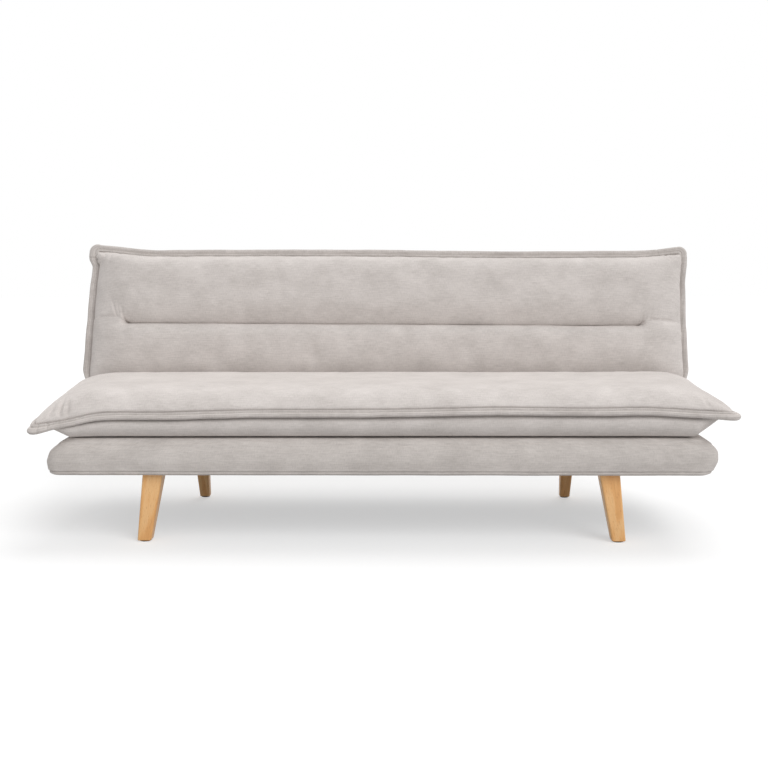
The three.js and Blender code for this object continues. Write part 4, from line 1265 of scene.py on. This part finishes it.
def build_rear_cover():
    """The cloth panel on the back's rear, drawn over the frame with a turned and stitched edge."""
    d0, d1 = BACK_NEAR + PADDING + 0.3 * MM, BACK_FAR - PADDING - 0.3 * MM
    half, x, d, edge = cover_grid(d0, d1, 260, 70)
    full = swell(edge / REAR_ROUND)
    soft = 0.8 * MM * noise_of(spots(x, d, 0), 0.09, 5.5)
    pull = noise_of(spots(x, 0, 0), 0.03, 8.8) * np.exp(-np.minimum(d - d0, d1 - d) / (30 * MM))
    pull += noise_of(spots(0, d, 0), 0.03, 4.4) * np.exp(-(half - np.abs(x)) / (30 * MM))
    groove = 0.9 * MM * bump(edge, REAR_SEAM, 1.8 * MM)
    outer = BASE + 1.0 * MM - REAR_CROWN * full + (soft + 0.7 * MM * pull) * full + groove
    cover = thin_cover("rear_cover", x, d, BASE + 2 * MM, outer, back_place)
    smooth_by_angle(cover, 50)
    dress(cover, BOX_CLOTH, "back")
    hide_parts("back_rear_cover")
    ring = rounded_outline(-half + REAR_SEAM, half - REAR_SEAM, d0 + REAR_SEAM, d1 - REAR_SEAM, 3 * MM, 900)
    level = BASE + 1.3 * MM - REAR_CROWN * float(swell(REAR_SEAM / REAR_ROUND))
    path = back_place(spots(*ring.T, level))
    sew("rear_cover_stitches", path, "back", "box_fabric", closed=True)


REAR_ROUND, REAR_CROWN, REAR_SEAM = 16 * MM, 4.2 * MM, 9 * MM


# Legs


LEG_EDGE, BOLT_RADIUS, BOLT_DEPTH = 5.5 * MM, 4.3 * MM, 26 * MM


def middle_of(node):
    low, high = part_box(node)
    return (low.x + high.x) / 2, (low.y + high.y) / 2


def build_leg(name, top_size, foot_size):
    """A square tapered leg with softened edges, its faces very slightly full, bored for its bolt."""
    low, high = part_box(name)
    (tx, ty), (fx, fy) = (middle_of(node) for node in (name + "_bolt", name.replace("_leg", "_glide")))
    count = 96
    rings, grain = [], []
    levels = [0, 0.004, 0.012, 0.03, *np.linspace(0.08, 0.96, 16), 1]
    shrink = [0.955, 0.985, 0.997, 1.0] + [1.0] * 17
    for t, pinch in zip(levels, shrink):
        size = mix(foot_size, top_size, t) * pinch
        full = 0.35 * MM * math.sin(math.pi * min(t * 1.2, 1))
        ring = rounded_outline(-size / 2, size / 2, -size / 2, size / 2, LEG_EDGE, count)
        middle = 1 - np.abs(ring / (size / 2)).min(axis=1) ** 2
        ring = ring * (1 + (full / size) * middle)[:, None]
        z = mix(low.z, high.z, t)
        rings.append(spots(ring[:, 0] + mix(fx, tx, t), ring[:, 1] + mix(fy, ty, t), z))
        grain.append(spots(ring[:, 0] + tx, ring[:, 1] + ty, z))
    angles = np.arctan2(rings[-1][:, 1] - ty, rings[-1][:, 0] - tx)
    for z in (high.z, high.z - BOLT_DEPTH):
        bore = spots(tx + BOLT_RADIUS * np.cos(angles), ty + BOLT_RADIUS * np.sin(angles), z)
        rings.append(bore)
        grain.append(bore)
    points = np.concatenate(rings)
    faces = grid_faces(len(rings), count, closed=True).tolist()
    faces.append(list(range(count)))
    faces.append([(len(rings) - 1) * count + k for k in range(count)])
    leg = new_object(name + "_shaped", points, faces)
    attribute = leg.data.attributes.new("grain", "FLOAT_VECTOR", "POINT")
    attribute.data.foreach_set("vector", np.concatenate(grain).astype(np.float32).ravel())
    face_outwards(leg)
    smooth_by_angle(leg, 40)
    dress(leg, BEECH, "seat")
    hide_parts(name)


# Springs: the same wave as the wire in the frame, drawn smooth


WAVE, WAVE_HALF, WIRE_RADIUS, RAIL_DOWN = 52 * MM, 25 * MM, 1.9 * MM, 24 * MM


def spring_path(node, place, distances):
    """The wave of one no-sag spring: hooked over both rails, arched a little between them."""
    near, far = distances
    waves = round((far - near) / WAVE)
    t = np.linspace(0, 1, waves * 28 + 1)
    phase = 2 * math.pi * waves * t
    fill = WAVE / (4 * math.pi) * np.sin(2 * phase) * np.sin(math.pi * t)
    height = FACE - RAIL_DOWN + 0.3 * MM + WIRE_RADIUS + 5.5 * MM * np.sin(math.pi * t)
    across = middle_of(node)[0] + WAVE_HALF * np.sin(phase)
    return place(spots(across, mix(near, far, t) + fill, height))


def build_springs():
    half_rail = 12.5 * MM
    seat_span = (SEAT_NEAR + PADDING + 16 * MM, SEAT_FAR - PADDING - half_rail)
    back_span = (BACK_NEAR + PADDING + half_rail, BACK_FAR - PADDING - half_rail)
    for body, count, place, span in (("seat", 5, seat_place, seat_span), ("back", 3, back_place, back_span)):
        for k in range(1, count + 1):
            node = f"{body}_spring_{k}"
            wire = path_object(node + "_wire", spring_path(node, place, span))
            WIRE.run(node + "_wire", wire, {"Radius": WIRE_RADIUS, "Step": 4 * MM, "Material": SPRING_STEEL},
                     body, "spring_wire")
            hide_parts(node)


# Everything in its place

SEAT_SHAPE = {
    "seam": [(-955, -28), (-903, -23), (-857, -16), (-790, 2), (-723, 4), (-615, 2.5), (-347, 10), (0, 10.5),
             (324, 17), (593, 14), (727, 17), (834, 11), (893, 8), (955, 5)],
    "reach": [(-955, 14), (-900, 8), (-850, 4), (-800, 1), (-735, 0), (735, 0), (850, 3), (900, 7),
              (955, 12)],
    "shoulder": [(0, 0), (4, 0.17), (10, 0.35), (18, 0.53), (29, 0.7), (44, 0.835), (66, 0.925), (100, 0.98),
                 (150, 1)],
    "nose": [(0.08, 0.2), (0.015, 0.39), (0.015, 0.59), (0.03, 0.77), (0.14, 0.91), (0.41, 0.98)],
    "ends": (0.6, 0.1), "near_round": (0.75, 0.6), "bulge": (7 * MM, 7 * MM),
    "sides": ((0, 0, -1, -1, -3, -8), (0, 0, 0, -2, -1, 0)),
    "creases": [(-912, 0.3, 3.2, 55), (-884, 0.12, 4.0, 70), (-862, -0.1, 3.0, 50), (895, -0.3, 1.6, 55)],
    "flange": {"widths": (6, 20, 23.5, 20), "bends": ((0, 0), (10, 40), (36, 76), (10, 35)),
               "tips": ((0.4, 34, 68), (0.3, 20, 50)), "square": 0.05}}
BACK_SHAPE = {
    "seam": [(-955, -10), (-900, -6), (-800, 0), (800, 0), (900, -4), (955, -6)],
    "reach": [(-955, 18), (-902, 15), (-853, 8), (-771, -2), (-606, -0.6), (-277, -1), (0, -3), (382, -9.4),
              (711, -8.5), (843, -8.5), (909, -1), (955, 4)],
    "shoulder": [(0, 0), (0.3, 0.1), (2, 0.3), (6, 0.5), (13, 0.69), (24, 0.84), (40, 0.94), (60, 0.985),
                 (90, 1)],
    "nose": [(0.08, 0.2), (0.015, 0.39), (0.02, 0.57), (0.07, 0.73), (0.2, 0.86), (0.42, 0.945),
             (0.62, 0.985)],
    "ends": (0, 0), "near_round": (1, 1), "bulge": (12 * MM, 2 * MM),
    "sides": ((-14, -20, -22, -27, -32, -20), (-6, -10, -10, -7, 0, 0)),
    "creases": [(-915, -0.7, 3.0, 60), (-935, -1.3, 2.4, 50), (-890, -0.25, 2.0, 45), (915, 0.6, 1.6, 45)],
    "channel": {"at": 256 * MM, "ends": (835 * MM, 820 * MM), "slope": -7 * MM},
    "flange": {"widths": (6, 33, 27, 40), "bends": ((0, 0), (45, -30), (6, 14), (45, -35)),
               "tips": ((0.0, 5, 12), (0.05, 8, 16)), "square": 0.14}}

for name, body, reach, place, shape in (("seat", "seat", 579 * MM, seat_place, SEAT_SHAPE),
                                        ("back", "back", 476 * MM, back_place, BACK_SHAPE)):
    obj, stitch = build_pillow(Pillow(f"{name}_cushion", reach, place, shape))
    dress(obj, PILLOW_CLOTH, body)
    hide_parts(f"{name}_pillow")
    sew(f"{name}_cushion_stitches", stitch, body, "pillow_fabric", 5.0 * MM, 1.0 * MM, closed=True)

build_box("seat", SEAT_NEAR, SEAT_FAR, seat_place, SEAT_PANEL_HALF,
          ("seat_cover", "seat_rear_panel", "front", "rear"))
build_box("back", BACK_NEAR, BACK_FAR, back_place, BACK_PANEL_HALF,
          ("back_cover", "back_bottom_panel", "top", "bottom"))
build_dust_cover()
build_rear_cover()
for side in ("left", "right"):
    build_leg(f"front_{side}_leg", 57 * MM, 39 * MM)
    build_leg(f"rear_{side}_leg", 46 * MM, 32 * MM)
build_springs()

for name, obj in frame["nodes"].items():
    if obj.hide_render:
        continue
    if name.endswith("rail") or name.endswith("stretcher"):
        deep = any(word in name for word in ("left_rail", "right_rail", "centre_rail", "stretcher"))
        material = (PINE_BACK if name.startswith("back") else PINE_DEEP) if deep else PINE_ACROSS
    elif name.endswith("glide"):
        material = NYLON
    elif name.startswith("pawl_spring"):
        material = SPRING_STEEL
    else:
        material = ZINC
    obj.data.materials.clear()
    obj.data.materials.append(material)

# Studio


def build_studio():
    scene = bpy.context.scene
    floor = new_object("floor", [(-9, -6, 0), (9, -6, 0), (9, 12, 0), (-9, 12, 0)], [(0, 1, 2, 3)])
    n = Finish("white_floor")
    n.finish((0.55, 0.55, 0.55, 1), 0.9, None, Specular_IOR_Level=0.0)
    plain = n.shader.outputs[0]
    lit = n.join("ShaderNodeAddShader", plain, n.white_light("ShaderNodeEmission", FLOOR_GLOW))
    seen = n.rays("Is Camera Ray", "Is Glossy Ray")
    n.link(n.join("ShaderNodeMixShader", seen, plain, lit), n.out.inputs[0])
    floor.data.materials.append(n.material)

    scene.world = bpy.data.worlds.new("studio")
    scene.world.use_nodes = True
    n = Nodes(scene.world.node_tree)
    dim, white = (n.white_light("ShaderNodeBackground", level) for level in (WORLD_LEVEL, 1.0))
    seen = n.rays("Is Camera Ray", "Is Glossy Ray", "Is Transmission Ray")
    out = n.add("ShaderNodeOutputWorld")
    n.link(n.join("ShaderNodeMixShader", seen, dim, white), out.inputs[0])

    for name, strength, turn, spread in SUNS:
        lamp = bpy.data.lights.new(name, "SUN")
        lamp.energy = strength
        lamp.angle = math.radians(spread)
        obj = bpy.data.objects.new(name, lamp)
        obj.rotation_euler = tuple(math.radians(v) for v in turn)
        scene.collection.objects.link(obj)

    camera = bpy.data.cameras.new("camera")
    camera.sensor_width = 36
    camera.lens = 36 * FOCAL_PIXELS / 768
    camera.clip_start, camera.clip_end = 0.05, 60
    obj = bpy.data.objects.new("camera", camera)
    obj.location = CAMERA_AT
    obj.rotation_euler = CAMERA_TURN
    scene.collection.objects.link(obj)
    scene.camera = obj
    scene.view_settings.view_transform = "Standard"


WORLD_LEVEL = FLOOR_GLOW = 0.5
SUNS = [("key", 1.15, (-25, 14, 0), 40), ("fill", 1.3, (50, 0, 37), 40)]
FOCAL_PIXELS = 1147.3
CAMERA_AT = (0.0729, -3.5082, 0.8588)
PITCH, ROLL, YAW = 0.13046, 0.0031, 0.01937
CAMERA_TURN = (math.pi / 2 - PITCH, ROLL, YAW)
build_studio()
